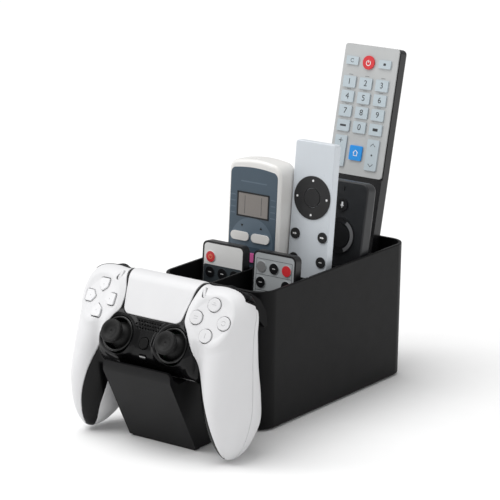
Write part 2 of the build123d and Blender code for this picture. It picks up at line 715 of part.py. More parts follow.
with BuildPart() as stick_rings:
    for u, v in stick_places:
        plane = Plane(origin=ctl.from_local_coords(Vector(u, v, 0)), x_dir=ctl.x_dir, z_dir=-ctl.y_dir)
        with BuildSketch(plane):
            with BuildLine():
                Polyline((ring_throat, -ring_depth), (ring_opening, ring_proud - 0.5),
                         (ring_opening + 0.5, ring_proud), (ring_radius - 0.5, ring_proud - 0.4),
                         (ring_radius, ring_proud - 1),
                         (ring_radius, -ring_depth), (ring_throat, -ring_depth))
            make_face()
        revolve(axis=Axis(plane.origin, ctl.z_dir))
finish(stick_rings, "stick_rings")

# ---- inside: board, frame, battery, motors, speaker, sockets, screws and trigger pins ----
board_half, board_low, board_high, board_shoulder = 43, -42, 20, 36
board_back = board_top_w - board_thickness
bracket_back, bracket_v = -29.5, (7.6, 9.8)
motor_u, motor_v = 60.5, -32


def board_outline(wide_to):
    """The board is narrower above wide_to, where the triggers pass."""
    with Locations((0, (board_low + wide_to) / 2)):
        Rectangle(2 * board_half, wide_to - board_low)
    with Locations((0, (wide_to + board_high) / 2)):
        Rectangle(2 * board_shoulder, board_high - wide_to)


def screw_holes(radius):
    for u, v in case_screws_at:
        with Locations((-u, v), (u, v)):
            Circle(radius, mode=Mode.SUBTRACT)


with BuildPart() as main_board:
    with BuildSketch(ctl.offset(board_back)):
        board_outline(bracket_v[0] - 0.4)
        with Locations((0, (board_high + core_top - shell_wall - 2) / 2)):
            Rectangle(16, core_top - shell_wall - 2 - board_high)
        screw_holes(case_screw_radius)
    extrude(amount=board_thickness)
finish(main_board, "main_board")

frame_back = board_back - frame_thickness
ear_inner = (trigger_inner - 2, trigger_inner - seat_gap)
ear_outer = (trigger_outer + seat_gap, trigger_outer + 2)
with BuildPart() as mid_frame:
    with BuildSketch(ctl.offset(frame_back)):
        board_outline(bracket_v[1])
        for side in (-1, 1):
            with Locations((side * (board_half + motor_u + 6) / 2, motor_v + motor_length / 2 - 1)):
                Rectangle(motor_u + 6 - board_half, 11)
        screw_holes(case_screw_radius)
    extrude(amount=frame_thickness)
    for side in (-1, 1):
        with BuildSketch(ctl.offset(bracket_back)):
            with Locations((side * (ear_inner[0] + ear_outer[1]) / 2, sum(bracket_v) / 2)):
                Rectangle(ear_outer[1] - ear_inner[0], bracket_v[1] - bracket_v[0])
        extrude(amount=frame_back + frame_thickness - bracket_back)
        for near, far in (ear_inner, ear_outer):
            with BuildSketch(side_plane.offset(side * near)):
                with Locations(((bracket_v[0] + trigger_pivot[0]) / 2, trigger_pivot[1])):
                    Rectangle(trigger_pivot[0] - bracket_v[0], 6)
                with Locations(trigger_pivot):
                    Circle(3)
                with Locations(trigger_pivot):
                    Circle(trigger_pin_radius, mode=Mode.SUBTRACT)
            extrude(amount=side * (far - near))
    for u, v in case_screws_at:
        with BuildSketch(ctl.offset(bracket_back - 1)):
            with Locations((-u, v), (u, v)):
                Circle(boss_radius + 0.3)
        extrude(amount=frame_back - bracket_back + 1, mode=Mode.SUBTRACT)
finish(mid_frame, "mid_frame")

with BuildPart() as trigger_pins:
    for side in (-1, 1):
        with BuildSketch(side_plane.offset(side * ear_inner[0])):
            with Locations(trigger_pivot):
                Circle(trigger_pin_radius)
        extrude(amount=side * (ear_outer[1] - ear_inner[0]))
finish(trigger_pins, "trigger_pins")

battery_back = -core_depth + shell_wall + seat_gap
with BuildPart() as battery:
    with BuildSketch(ctl.offset(battery_back)):
        with Locations((0, -9)):
            RectangleRounded(*battery_size, 3)
    extrude(amount=frame_back - battery_back)
finish(battery, "battery")

with BuildPart() as rumble_motors:
    for side in (-1, 1):
        middle = ctl.from_local_coords(Vector(side * motor_u, motor_v, frame_back - motor_radius - 0.1))
        with BuildSketch(Plane(origin=middle, x_dir=(1, 0, 0), z_dir=ctl.y_dir)):
            Circle(motor_radius)
        extrude(amount=motor_length / 2, both=True)
        motor_end = middle - ctl.y_dir * (motor_length / 2)
        with BuildSketch(Plane(origin=motor_end, x_dir=(1, 0, 0), z_dir=ctl.y_dir)):
            Circle(motor_radius - 1)
        extrude(amount=-5)
finish(rumble_motors, "rumble_motors")

with BuildPart() as speaker:
    with BuildSketch(ctl.offset(-bridge_bottom - seat_gap)):
        with Locations((0, -14.5)):
            Circle(7)
    extrude(amount=-3)
finish(speaker, "speaker")

with BuildPart() as usb_port:
    with BuildSketch(Plane(origin=ctl.from_local_coords(Vector(0, core_top, port_w)), x_dir=(1, 0, 0),
                           z_dir=ctl.y_dir)):
        RectangleRounded(9.2, 3.4, 1.6)
        RectangleRounded(8.4, 2.6, 1.25, mode=Mode.SUBTRACT)
    extrude(amount=-7.4)
    with BuildSketch(Plane(origin=ctl.from_local_coords(Vector(0, core_top - 1, port_w)), x_dir=(1, 0, 0),
                           z_dir=ctl.y_dir)):
        Rectangle(6.4, 0.7)
    extrude(amount=-6.4)
    with BuildSketch(Plane(origin=ctl.from_local_coords(Vector(0, core_top - 6.4, port_w)), x_dir=(1, 0, 0),
                           z_dir=ctl.y_dir)):
        RectangleRounded(9.2, 3.4, 1.6)
    extrude(amount=-1)
finish(usb_port, "usb_port")

with BuildPart() as headset_jack:
    with BuildSketch(Plane(origin=ctl.from_local_coords(Vector(0, core_bottom + 0.6, jack_w)), x_dir=(1, 0, 0),
                           z_dir=ctl.y_dir)):
        Circle(3.1)
        Circle(1.8, mode=Mode.SUBTRACT)
    extrude(amount=12)
    with BuildSketch(ctl.offset(board_top_w)):
        with Locations((0, core_bottom + 9.5)):
            Rectangle(6.2, 8)
            Rectangle(3.6, 10, mode=Mode.SUBTRACT)
    extrude(amount=jack_w - board_top_w - 1)
finish(headset_jack, "headset_jack")

with BuildPart() as case_screws:
    for u, v in case_screws_at:
        head_w = -core_depth + 1.6
        with BuildSketch(ctl.offset(head_w)):
            with Locations((-u, v), (u, v)):
                Circle(case_screw_radius)
        extrude(amount=board_top_w + 6 - head_w)
        with BuildSketch(ctl.offset(head_w)):
            with Locations((-u, v), (u, v)):
                Circle(back_screw_head - 0.3)
        extrude(amount=-1.2)
finish(case_screws, "case_screws")

# ================= Remotes =================
remote_floor = floor_top + seat_gap


def remote_plane(x, lean_angle, support_y, support_z):
    """Back face of a remote that stands on the floor and leans back on an edge: y runs up it."""
    slope = radians(lean_angle)
    foot = support_y - seat_gap / cos(slope) - (support_z - remote_floor) * tan(slope)
    return Plane(origin=(x, foot, remote_floor), x_dir=(1, 0, 0), z_dir=(0, -cos(slope), sin(slope)))


def divider_edge(y):
    return (y - divider_thickness / 2, divider_top)


mini_support = divider_edge(front_divider_y)
rear_wall_support = (-front_y - box_wall, box_height)
mini_left = remote_plane(mini_left_x, mini_lean, *mini_support)
mini_right = remote_plane(mini_right_x, mini_lean, *mini_support)
ac = remote_plane(ac_x, ac_lean, *divider_edge(middle_divider_y))
slim = remote_plane(slim_x, slim_lean, *divider_edge(middle_divider_y))
voice = remote_plane(voice_x, voice_lean, *divider_edge(rear_divider_y))
tall = remote_plane(tall_x, tall_lean, *rear_wall_support)


def block(plane, width, length, thickness, corner):
    """A rounded slab with its foot on the plane's x axis."""
    with BuildPart() as body:
        with BuildSketch(plane):
            with Locations((0, length / 2)):
                RectangleRounded(width, length, corner)
        extrude(amount=thickness)
    return body


def keys_on(plane, places, height):
    """Rubber keys standing on a face: each place is (x, y, width, height, corner)."""
    with BuildPart() as body:
        for x, y, across, up, corner in places:
            with BuildSketch(plane):
                with Locations((x, y)):
                    RectangleRounded(across, up, corner)
            extrude(amount=height)
    return body


# card remotes: a flat case with a printed overlay whose keys bulge
mini_margin = 1.6
mini_key = 4.5
mini_pitch_x, mini_pitch_y, mini_first = 12.4, 12.6, 12.6
for plane, word in ((mini_left, "left"), (mini_right, "right")):
    face = plane.offset(mini_thickness)
    with BuildPart() as case:
        add(block(plane, mini_width, mini_length, mini_thickness, 5).part)
        fillet(case.faces().sort_by(Axis(plane.origin, plane.z_dir))[0].edges(), 1.5)
        with BuildSketch(face):
            with Locations((0, mini_length / 2)):
                RectangleRounded(mini_width - 2 * mini_margin, mini_length - 2 * mini_margin, 3.6)
        extrude(amount=-face_recess, mode=Mode.SUBTRACT)
    finish(case, f"mini_remote_{word}_case")
    with BuildPart() as overlay:
        with BuildSketch(face.offset(-face_recess)):
            with Locations((0, mini_length / 2)):
                RectangleRounded(mini_width - 2 * mini_margin - 0.2, mini_length - 2 * mini_margin - 0.2, 3.5)
        extrude(amount=face_recess)
        with BuildSketch(face):
            for row in range(8):
                for column in (-1, 0, 1):
                    if word == "left" and row == 0 and column > -1:
                        continue
                    if word == "right" and row == 1 and column == 0:
                        continue
                    with Locations((column * mini_pitch_x, mini_length - mini_first - row * mini_pitch_y)):
                        Circle(mini_key)
        extrude(amount=0.6)
    finish(overlay, f"mini_remote_{word}_overlay")

# air-conditioner remote: thick case, arched fascia with a display and oval keys
fascia_half, fascia_top, fascia_low = 23.4, 183, 30
fascia_corner, fascia_arch = 3.4, 58   # the arch is the half width of the ellipse that shapes both ends
screen = (0, 151.6, 30, 18.5)


def fascia_outline(shrink):
    """A long panel with arched ends."""
    half_length = (fascia_top - fascia_low) / 2 - shrink
    with Locations((0, (fascia_top + fascia_low) / 2)):
        RectangleRounded(2 * (fascia_half - shrink), 2 * half_length, fascia_corner - shrink)
        Ellipse(fascia_arch - shrink, half_length, mode=Mode.INTERSECT)


with BuildPart() as ac_case:
    with BuildSketch(ac):
        with BuildLine():
            Polyline((-ac_width / 2, ac_length - 12), (-ac_width / 2, 0), (ac_width / 2, 0),
                     (ac_width / 2, ac_length - 12))
            ThreePointArc((ac_width / 2, ac_length - 12), (0, ac_length), (-ac_width / 2, ac_length - 12))
        make_face()
    extrude(amount=ac_thickness)
    fillet(ac_case.edges().filter_by(Axis(ac.origin, ac.z_dir)), 8)
    fillet(ac_case.faces().sort_by(Axis(ac.origin, ac.z_dir))[-1].edges(), 3)
    fillet(ac_case.faces().sort_by(Axis(ac.origin, ac.z_dir))[0].edges(), 3)
    ac_face = ac.offset(ac_thickness)

    with BuildSketch(ac_face):
        fascia_outline(0)
    extrude(amount=-face_recess * 2, mode=Mode.SUBTRACT)
finish(ac_case, "ac_remote_case")
ac_keys = [(-11.6, 125.2, 18, 7.2, 3.5), (9, 125.2, 18, 7.2, 3.5), (-1, 108.5, 14, 7.4, 3.6)]
ac_keys += [(x, y, 13, 6.4, 3.1) for y in (92, 76, 60, 44) for x in (-15.5, 0, 15.5)]
with BuildPart() as ac_fascia:
    with BuildSketch(ac_face.offset(-2 * face_recess)):
        fascia_outline(0.15)
        with Locations(screen[:2]):
            Rectangle(*screen[2:], mode=Mode.SUBTRACT)
    extrude(amount=2 * face_recess)
finish(ac_fascia, "ac_remote_fascia")
with BuildPart() as ac_screen:
    with BuildSketch(ac_face.offset(-2 * face_recess)):
        with Locations(screen[:2]):
            Rectangle(screen[2] - 0.2, screen[3] - 0.2)
    extrude(amount=2 * face_recess - 0.4)
finish(ac_screen, "ac_remote_screen")
finish(keys_on(ac_face, ac_keys, key_height), "ac_remote_keys")

# slim white remote: navigation ring, centre disc and round keys in one rubber mat each
with BuildPart() as slim_case:
    add(block(slim, slim_width, slim_length, slim_thickness, 2.4).part)
    fillet(slim_case.faces().sort_by(Axis(slim.origin, slim.z_dir))[0].edges(), 2)
    fillet(slim_case.faces().sort_by(Axis(slim.origin, slim.z_dir))[-1].edges(), 0.8)
finish(slim_case, "slim_remote_case")
slim_face = slim.offset(slim_thickness)
ring_y, slim_ring_radius, disc_radius = 163, 17.7, 7.6
with BuildPart() as slim_ring:
    with BuildSketch(slim_face):
        with Locations((0.8, ring_y)):
            Circle(slim_ring_radius)
            Circle(disc_radius + 0.3, mode=Mode.SUBTRACT)
    extrude(amount=0.7)
finish(slim_ring, "slim_remote_ring")
slim_keys = [(0.8, ring_y, 2 * disc_radius, 2 * disc_radius, disc_radius - 0.01)]
slim_keys += [(x, y, 8.8, 8.8, 4.39) for y in (132.2, 112) for x in (-13.2, 13.6)]
finish(keys_on(slim_face, slim_keys, 0.9), "slim_remote_keys")

# voice remote: black case, navigation ring round a centre key, microphone key
with BuildPart() as voice_case:
    add(block(voice, voice_width, voice_length, voice_thickness, 7).part)
    fillet(voice_case.faces().sort_by(Axis(voice.origin, voice.z_dir))[0].edges(), 4)
    fillet(voice_case.faces().sort_by(Axis(voice.origin, voice.z_dir))[-1].edges(), 1.6)
    with BuildSketch(voice.offset(voice_thickness)):
        with Locations((0, 162)):
            SlotOverall(3.6, 1.2, rotation=90)
    extrude(amount=-1, mode=Mode.SUBTRACT)
finish(voice_case, "voice_remote_case")
voice_face = voice.offset(voice_thickness)
voice_ring_y = 123
with BuildPart() as voice_keys:
    with BuildSketch(voice_face):
        with Locations((0, voice_ring_y)):
            Circle(14.8)
            Circle(10.6, mode=Mode.SUBTRACT)
            Circle(10)
        with Locations((0, 148.5)):
            Circle(5)
    extrude(amount=1)
finish(voice_keys, "voice_remote_keys")

# tall television remote: black case, silver front plate over the upper part, numbered keys
plate_low = 160.7
with BuildPart() as tall_case:
    add(block(tall, tall_width, tall_length, tall_thickness, 4).part)
    fillet(tall_case.faces().sort_by(Axis(tall.origin, tall.z_dir))[0].edges(), 3)
    with BuildSketch(tall.offset(tall_thickness)):
        with Locations((0, (plate_low + tall_length) / 2)):
            Rectangle(tall_width + 1, tall_length - plate_low + 1)
    extrude(amount=-1.4, mode=Mode.SUBTRACT)
finish(tall_case, "tall_remote_case")
with BuildPart() as tall_plate:
    with BuildSketch(tall.offset(tall_thickness - 1.4)):
        with Locations((-0.5, (plate_low + tall_length) / 2)):
            RectangleRounded(tall_width - 1, tall_length - plate_low - 0.2, 2.5)
    extrude(amount=1.4)
finish(tall_plate, "tall_remote_plate")
tall_face = tall.offset(tall_thickness)
key_middle, key_pitch_x, key_pitch_y, first_row = -1.8, 16.3, 12.33, 238.1
tall_keys = [(key_middle + column * key_pitch_x, first_row - row * key_pitch_y, 12.4, 9.6, 0.8)
             for row in range(4) for column in (-1, 0, 1)]
tall_keys += [(key_middle, 255.8, 11.6, 11.6, 5.79), (key_middle - key_pitch_x, 256, 12, 7, 0.8),
              (key_middle + key_pitch_x, 256, 12, 7, 0.8), (key_middle, 179.5, 12.4, 12.4, 1.2),
              (key_middle - key_pitch_x, 179.7, 11.6, 26, 1), (key_middle + key_pitch_x, 179.7, 11.6, 26, 1)]
tall_keys += [(key_middle + column * key_pitch_x, 150 - row * 12.33, 11, 7, 1) for row in range(10)
              for column in (-1, 0, 1)]
finish(keys_on(tall_face, tall_keys, key_height), "tall_remote_keys")
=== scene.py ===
import json
from math import cos, pi, radians, sin

import bpy
import numpy as np
from mathutils import Matrix, Vector


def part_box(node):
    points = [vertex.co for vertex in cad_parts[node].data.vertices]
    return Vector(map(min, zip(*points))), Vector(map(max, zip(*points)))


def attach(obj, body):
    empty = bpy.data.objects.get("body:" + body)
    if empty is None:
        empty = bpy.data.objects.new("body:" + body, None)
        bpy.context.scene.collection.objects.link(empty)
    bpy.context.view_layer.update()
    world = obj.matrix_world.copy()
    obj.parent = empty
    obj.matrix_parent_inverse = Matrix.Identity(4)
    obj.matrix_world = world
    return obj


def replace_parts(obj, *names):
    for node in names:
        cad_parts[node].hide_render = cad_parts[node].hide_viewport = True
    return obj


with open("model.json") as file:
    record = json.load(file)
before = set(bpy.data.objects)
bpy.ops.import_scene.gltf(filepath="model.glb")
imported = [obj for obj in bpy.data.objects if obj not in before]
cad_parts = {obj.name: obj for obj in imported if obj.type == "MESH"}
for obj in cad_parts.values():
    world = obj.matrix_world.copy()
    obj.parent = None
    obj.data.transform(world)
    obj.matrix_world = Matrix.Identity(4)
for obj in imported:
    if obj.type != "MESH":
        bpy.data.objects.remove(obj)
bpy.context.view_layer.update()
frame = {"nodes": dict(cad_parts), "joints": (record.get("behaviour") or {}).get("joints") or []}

# ======================================================================================
# Caddy: a drafted box with rounded corners and four loose dividers.
# Injection-moulded black plastic with a fine spark-eroded grain, satin on the outside.
# The dividers slide down grooves in the walls.
# ======================================================================================
nodes = frame["nodes"]
MM = 0.001


def finish(name, colour, roughness, grain=0.35, relief=0.02, mottle=0.12, uneven=0.06, coat=0.0, metal=0.0,
           shine=0.5):
    """A moulded, painted or metal surface, slightly uneven in tone and gloss; its grain is in millimetres."""
    material = bpy.data.materials.new(name)
    material.use_nodes = True
    tree = material.node_tree
    shader = tree.nodes["Principled BSDF"]
    shader.inputs["Metallic"].default_value = metal
    shader.inputs["Specular IOR Level"].default_value = shine
    shader.inputs["Coat Weight"].default_value = coat
    shader.inputs["Coat Roughness"].default_value = 0.08
    place = tree.nodes.new("ShaderNodeTexCoord")
    cloud = tree.nodes.new("ShaderNodeTexNoise")
    cloud.inputs["Scale"].default_value = 1 / (22 * MM)
    cloud.inputs["Detail"].default_value = 5
    tree.links.new(place.outputs["Object"], cloud.inputs["Vector"])
    tone = tree.nodes.new("ShaderNodeValToRGB")
    tone.color_ramp.elements[0].position = 0.3
    tone.color_ramp.elements[1].position = 0.7
    tone.color_ramp.elements[0].color = (*[c * (1 - mottle) for c in colour], 1)
    tone.color_ramp.elements[1].color = (*[min(1, c * (1 + mottle)) for c in colour], 1)
    tree.links.new(cloud.outputs["Fac"], tone.inputs["Fac"])
    tree.links.new(tone.outputs["Color"], shader.inputs["Base Color"])
    smear = tree.nodes.new("ShaderNodeTexNoise")
    smear.inputs["Scale"].default_value = 1 / (9 * MM)
    smear.inputs["Detail"].default_value = 3
    tree.links.new(place.outputs["Object"], smear.inputs["Vector"])
    gloss = tree.nodes.new("ShaderNodeMapRange")
    gloss.inputs["To Min"].default_value = max(0.02, roughness - uneven)
    gloss.inputs["To Max"].default_value = roughness + uneven
    tree.links.new(smear.outputs["Fac"], gloss.inputs["Value"])
    tree.links.new(gloss.outputs["Result"], shader.inputs["Roughness"])
    if relief:
        pits = tree.nodes.new("ShaderNodeTexNoise")
        pits.inputs["Scale"].default_value = 1 / (grain * MM)
        pits.inputs["Detail"].default_value = 2
        tree.links.new(place.outputs["Object"], pits.inputs["Vector"])
        bump = tree.nodes.new("ShaderNodeBump")
        bump.inputs["Distance"].default_value = relief * MM
        bump.inputs["Strength"].default_value = 1
        tree.links.new(pits.outputs["Fac"], bump.inputs["Height"])
        tree.links.new(bump.outputs["Normal"], shader.inputs["Normal"])
    return material


def dress(node, material, edge=0.4):
    """Gives a piece that keeps its CAD shape its finish and a small rounded edge."""
    piece = nodes[node]
    piece.data.materials.clear()
    piece.data.materials.append(material)
    piece.data.shade_smooth()
    weld = piece.modifiers.new("joined faces", "WELD")
    weld.merge_threshold = 0.002 * MM
    if edge:
        rounding = piece.modifiers.new("rounded edges", "BEVEL")
        rounding.width = edge * MM
        rounding.segments = 3
        rounding.limit_method = "ANGLE"
        rounding.angle_limit = radians(32)
        rounding.harden_normals = True
    even = piece.modifiers.new("even shading", "WEIGHTED_NORMAL")
    even.keep_sharp = True
    return piece


grained_black = finish("grained black plastic", (0.0062, 0.0062, 0.0066), 0.4, grain=0.5, relief=0.03,
                       shine=0.1)
dress("organiser_box", grained_black, edge=0.5)
for divider in ("front_divider", "middle_divider", "rear_divider", "centre_divider"):
    dress(divider, grained_black, edge=0.35)

# ======================================================================================
# Stand: a hollow sloping bracket with a lip, moulded in the same black plastic.
# It is held to the caddy's front wall by two screws from inside, and stands on a strip
# of soft pad; the caddy stands on a sheet of the same pad.
# ======================================================================================
stand_black = finish("stand black plastic", (0.0065, 0.0065, 0.007), 0.32, grain=0.5, relief=0.02, shine=0.13)
dress("controller_stand", stand_black, edge=0.6)
zinc = finish("zinc-plated steel", (0.5, 0.5, 0.5), 0.28, relief=0, metal=1.0)
dress("stand_screws", zinc, edge=0.15)
pad = finish("soft pad rubber", (0.02, 0.02, 0.02), 0.8, grain=0.8, relief=0.06)
dress("base_pads", pad, edge=0.3)

# ======================================================================================
# Controller covers: a white front with a gloss black middle, and a white back.
# Thin injection-moulded shells with a fine texture, snapped and screwed together. The
# outline runs from a flat middle block into two tapering grips with no break between.
# ======================================================================================
joints = {joint["name"]: joint for joint in frame["joints"]}
lean_up = Vector(joints["left_stick_left_right"]["axis"])
across = Vector((1, 0, 0))
face_out = across.cross(lean_up)
stick_pivot = {"left": Vector(joints["left_stick_up_down"]["pos_m"]),
               "right": Vector(joints["right_stick_up_down"]["pos_m"])}
STICK_U, STICK_V, PIVOT_W = abs(stick_pivot["left"].x) / MM, -25, -9
middle = (stick_pivot["left"] + stick_pivot["right"]) / 2
face_origin = middle - lean_up * (STICK_V * MM) - face_out * (PIVOT_W * MM)


def plane_of(right, up, out, origin):
    """A matrix from a drawing in millimetres to its place: right, up and out are the drawing's axes."""
    turn = Matrix((right, up, out)).transposed()
    return Matrix.Translation(origin) @ turn.to_4x4() @ Matrix.Scale(MM, 4)


# The controller is drawn lying flat, in millimetres: u across, v up the face, w out of it.
to_place = plane_of(across, lean_up, face_out, face_origin)
from_place = to_place.inverted()

SHELL = 2.2
# The middle block: half width, top and bottom heights, and depth.
CORE_HALF, CORE_TOP, CORE_BOTTOM, CORE_DEPTH = 46, 30, -45, 31
# Grip stations: height, centre across, centre in depth, half width, half depth.
GRIP = np.array([(-94.8, 68.4, -51, 0, 0), (-92, 68.2, -50.5, 5.6, 8.6), (-85, 67.5, -49.5, 11, 16.8),
                 (-73, 66, -47.5, 15.6, 25.5), (-58, 64.5, -44.5, 18.8, 31.5), (-40, 62, -37.5, 20.8, 31),
                 (-20, 58.5, -28.5, 23.2, 27), (0, 55.5, -21.5, 25.4, 21.5), (19, 54, -18, 22.4, 15.5),
                 (27, 53, -17, 15, 9), (29.5, 53, -17, 0, 0)], float)
# Lines as (height up the face, place there): the inner edge of the white wings, measured
# across, and the seam on the outer and the inner side of a grip, measured in depth.
WING_EDGE = np.array([(-96, 68), (-74, 62.4), (-59, 57.8), (-41, 51.4), (-26, 44.2), (-12, 35.8), (-6, 31.6),
                      (2, 30.6), (27, 36.6), (45, 38.4)], float)
SEAM = np.array([(-95, -56), (-55, -45), (-30, -34), (0, -21.5), (40, -19)], float)
INNER_SEAM = np.array([(-96, -57), (-85, -45), (-58, -32), (-40, -26), (-20, -22.5), (40, -21.5)], float)


def batten(at, stations, column):
    """A smooth line through the stations, as a bent batten gives."""
    x, y = stations[:, 0], stations[:, column]
    slope = np.gradient(y, x)
    i = np.clip(np.searchsorted(x, at) - 1, 0, len(x) - 2)
    span = x[i + 1] - x[i]
    t = np.clip((at - x[i]) / span, 0, 1)
    return ((2 * t**3 - 3 * t**2 + 1) * y[i] + (t**3 - 2 * t**2 + t) * span * slope[i]
            + (3 * t**2 - 2 * t**3) * y[i + 1] + (t**3 - t**2) * span * slope[i + 1])


def both(a, b, round_by):
    """Inside both solids, with the edge between them rounded."""
    return (np.minimum(-round_by, np.maximum(a, b))
            + np.hypot(np.maximum(a + round_by, 0), np.maximum(b + round_by, 0)))


def either(a, b, reach):
    """Inside either solid, with a fillet between them."""
    t = np.clip(0.5 + 0.5 * (b - a) / reach, 0, 1)
    return b * (1 - t) + a * t - reach * t * (1 - t)


def grip_field(u, v, w):
    """Distance outside a grip: an oval at each height, from the stations."""
    squares = GRIP.copy()
    squares[:, 3:] = squares[:, 3:] ** 2
    half_u = np.sqrt(np.maximum(batten(v, squares, 3), 0.3))
    half_w = np.sqrt(np.maximum(batten(v, squares, 4), 0.3))
    du, dw = u - batten(v, GRIP, 1), w - batten(v, GRIP, 2)
    reach = np.hypot(du / half_u, dw / half_w)
    steep = np.hypot(du / half_u**2, dw / half_w**2) + 1e-6
    side = reach * (reach - 1) / steep
    beyond = np.maximum(GRIP[0, 0] - v, v - GRIP[-1, 0])
    return np.where(beyond > 0, np.hypot(np.maximum(side, 0), np.maximum(beyond, 0)), side)


SHOULDER_MIDDLE, SHOULDER_HALF, SHOULDER_POWER = (52, 9.5, -15.5), (23.5, 19.5, 15), 2.6


def shoulder_field(u, v, w):
    """Distance outside the rounded block at the top of a grip, which carries the keys."""
    swell = sum(np.abs((place - middle) / half)**SHOULDER_POWER
                for place, middle, half in zip((u, v, w), SHOULDER_MIDDLE, SHOULDER_HALF))
    return (swell**(1 / SHOULDER_POWER) - 1) * 16


def press_line(key):
    """The way a key stands out of the cover, in controller directions."""
    return np.array((from_place.to_3x3() @ -Vector(joints[key + "_press"]["axis"])).normalized())


# The two key clusters: their side, the middle of the plane they stand on, and its outward line.
CLUSTERS = [(side, np.array((side * 53.5, 0.0, -0.4)), press_line(key))
            for side, key in ((-1, "dpad_up"), (1, "face_button_top"))]
# The skin swells a little round each cluster, and is almost flat under the keys.
MOUND_RISE, MOUND_REACH, MOUND_SLOPE = 1.5, 27, 11
FLAT_REACH, FLAT_FALL = 15, 0.16


def eased(share):
    """Turns an even rise from 0 to 1 into one that starts and ends gently."""
    return share * share * (3 - 2 * share)


def skin(u, v, w):
    """Depth of a point under the controller's outer skin: negative inside."""
    side = np.abs(u)
    profile = np.maximum(both(w, v - CORE_TOP, 12), both(w, CORE_BOTTOM - v, 18))
    profile = np.maximum(profile, both(-CORE_DEPTH - w, v - CORE_TOP, 8))
    profile = np.maximum(profile, both(-CORE_DEPTH - w, CORE_BOTTOM - v, 8))
    flank = both(side - CORE_HALF, (side - CORE_HALF + v - 22) * 0.7071, 6)
    core = both(profile, flank, 5)
    body = either(either(core, shoulder_field(side, v, w), 4), grip_field(side, v, w), 7)
    for hand, centre, outward in CLUSTERS:
        du, dv, dw = u - centre[0], v - centre[1], w - centre[2]
        above = du * outward[0] + dv * outward[1] + dw * outward[2]
        away = np.sqrt(np.maximum(du**2 + dv**2 + dw**2 - above**2, 0))
        mound = np.clip((MOUND_REACH - away) / MOUND_SLOPE, 0, 1) * np.clip((above + 16) / 6, 0, 1)
        raised = body - MOUND_RISE * eased(mound)
        flattened = both(raised, above - FLAT_FALL * np.maximum(away - FLAT_REACH, 0), 1.2)
        body = np.where(hand * u > 20, flattened, body)
    return body


def wing_side(u, v):
    """Distance outside the inner edge of the white wings, in plan."""
    return (np.abs(u) - batten(v, WING_EDGE, 1)) * 0.86


def seam_side(u, v, w):
    """Height in front of the seam between the front and back covers."""
    side = np.abs(u)
    grip = np.clip((side - 40) / 6, 0, 1)
    outer = eased(np.clip((side - batten(v, GRIP, 1) + 4) / 8, 0, 1))
    on_grip = batten(v, SEAM, 1) * outer + batten(v, INNER_SEAM, 1) * (1 - outer)
    return w - (on_grip * grip + SEAM[3, 1] * (1 - grip))


# The touchpad's outline: half width at its foot and at its top, and the heights of the two.
PAD_FOOT_HALF, PAD_TOP_HALF, PAD_FOOT, PAD_TOP = 27.6, 35.4, -8.2, 34


def pad_outline(u, v):
    """Distance outside the touchpad's outline, in plan."""
    slope = (PAD_TOP_HALF - PAD_FOOT_HALF) / (PAD_TOP - PAD_FOOT)
    flank = (np.abs(u) - PAD_FOOT_HALF - (v - PAD_FOOT) * slope) / (1 + slope**2)**0.5
    return both(flank, PAD_FOOT - v, 5)


def well(u, v, radius):
    """Distance outside the two stick wells."""
    return np.hypot(np.abs(u) - STICK_U, v - STICK_V) - radius


def key_frame(key):
    """The way a key stands out, and the middle of its top, in controller millimetres."""
    out = press_line(key)
    points = np.array([from_place @ corner.co for corner in nodes[key].data.vertices])
    height = points @ out
    top = points[height > height.max() - 0.05]
    return out, (top.min(0) + top.max(0)) / 2


def key_cut(key, radius, stretch=0.0, along=(1, 0, 0)):
    """Distance outside a key's hole: a circle, or a slot stretched along one way."""
    out, centre = key_frame(key)
    along = np.array(along, float)
    along = along - out * (along @ out)
    along /= np.linalg.norm(along)

    def distance(u, v, w):
        du, dv, dw = u - centre[0], v - centre[1], w - centre[2]
        rise = du * out[0] + dv * out[1] + dw * out[2]
        run = du * along[0] + dv * along[1] + dw * along[2]
        rest = np.maximum(du**2 + dv**2 + dw**2 - rise**2 - run**2, 0)
        hole = np.sqrt(np.maximum(np.abs(run) - stretch, 0)**2 + rest) - radius
        return np.maximum(hole, np.abs(rise) - 9)
    return distance


def arrow_cut(key, outward_angle, grow):
    """Distance outside a direction key's hole: straight outer end, pointed inner end."""
    out, centre = key_frame(key)
    right = np.array((1.0, 0, 0)) - out * out[0]
    right /= np.linalg.norm(right)
    up = np.cross(out, right)
    away = right * cos(radians(outward_angle)) + up * sin(radians(outward_angle))
    aside = np.cross(out, away)
    half, end, shoulder = 4.7 + grow, 5.3 + grow, -1.5
    slant = np.array((half, end + shoulder)) / np.hypot(half, end + shoulder)

    def distance(u, v, w):
        du, dv, dw = u - centre[0], v - centre[1], w - centre[2]
        run = du * away[0] + dv * away[1] + dw * away[2]
        off = np.abs(du * aside[0] + dv * aside[1] + dw * aside[2])
        rise = du * out[0] + dv * out[1] + dw * out[2]
        tip = (off - half) * slant[1] - (run - shoulder) * slant[0]
        return np.maximum(both(both(run - end, off - half, 1.8), tip, 1.4), np.abs(rise) - 9)
    return distance


KEY_CUTS = [arrow_cut(f"dpad_{word}", angle, 0.42)
            for word, angle in (("up", 90), ("left", 180), ("down", -90), ("right", 0))]
KEY_CUTS += [key_cut(f"face_button_{word}", 5.72) for word in ("top", "left", "bottom", "right")]
BAR_SLANT = radians(18)
KEY_CUTS += [key_cut(key, 1.6, 2.7, (hand * sin(BAR_SLANT), cos(BAR_SLANT), 0))
             for hand, key in ((1, "create_button"), (-1, "options_button"))]
MIDDLE_CUTS = [key_cut("home_button", 4.7), key_cut("mute_button", 1.4, 2.2)]
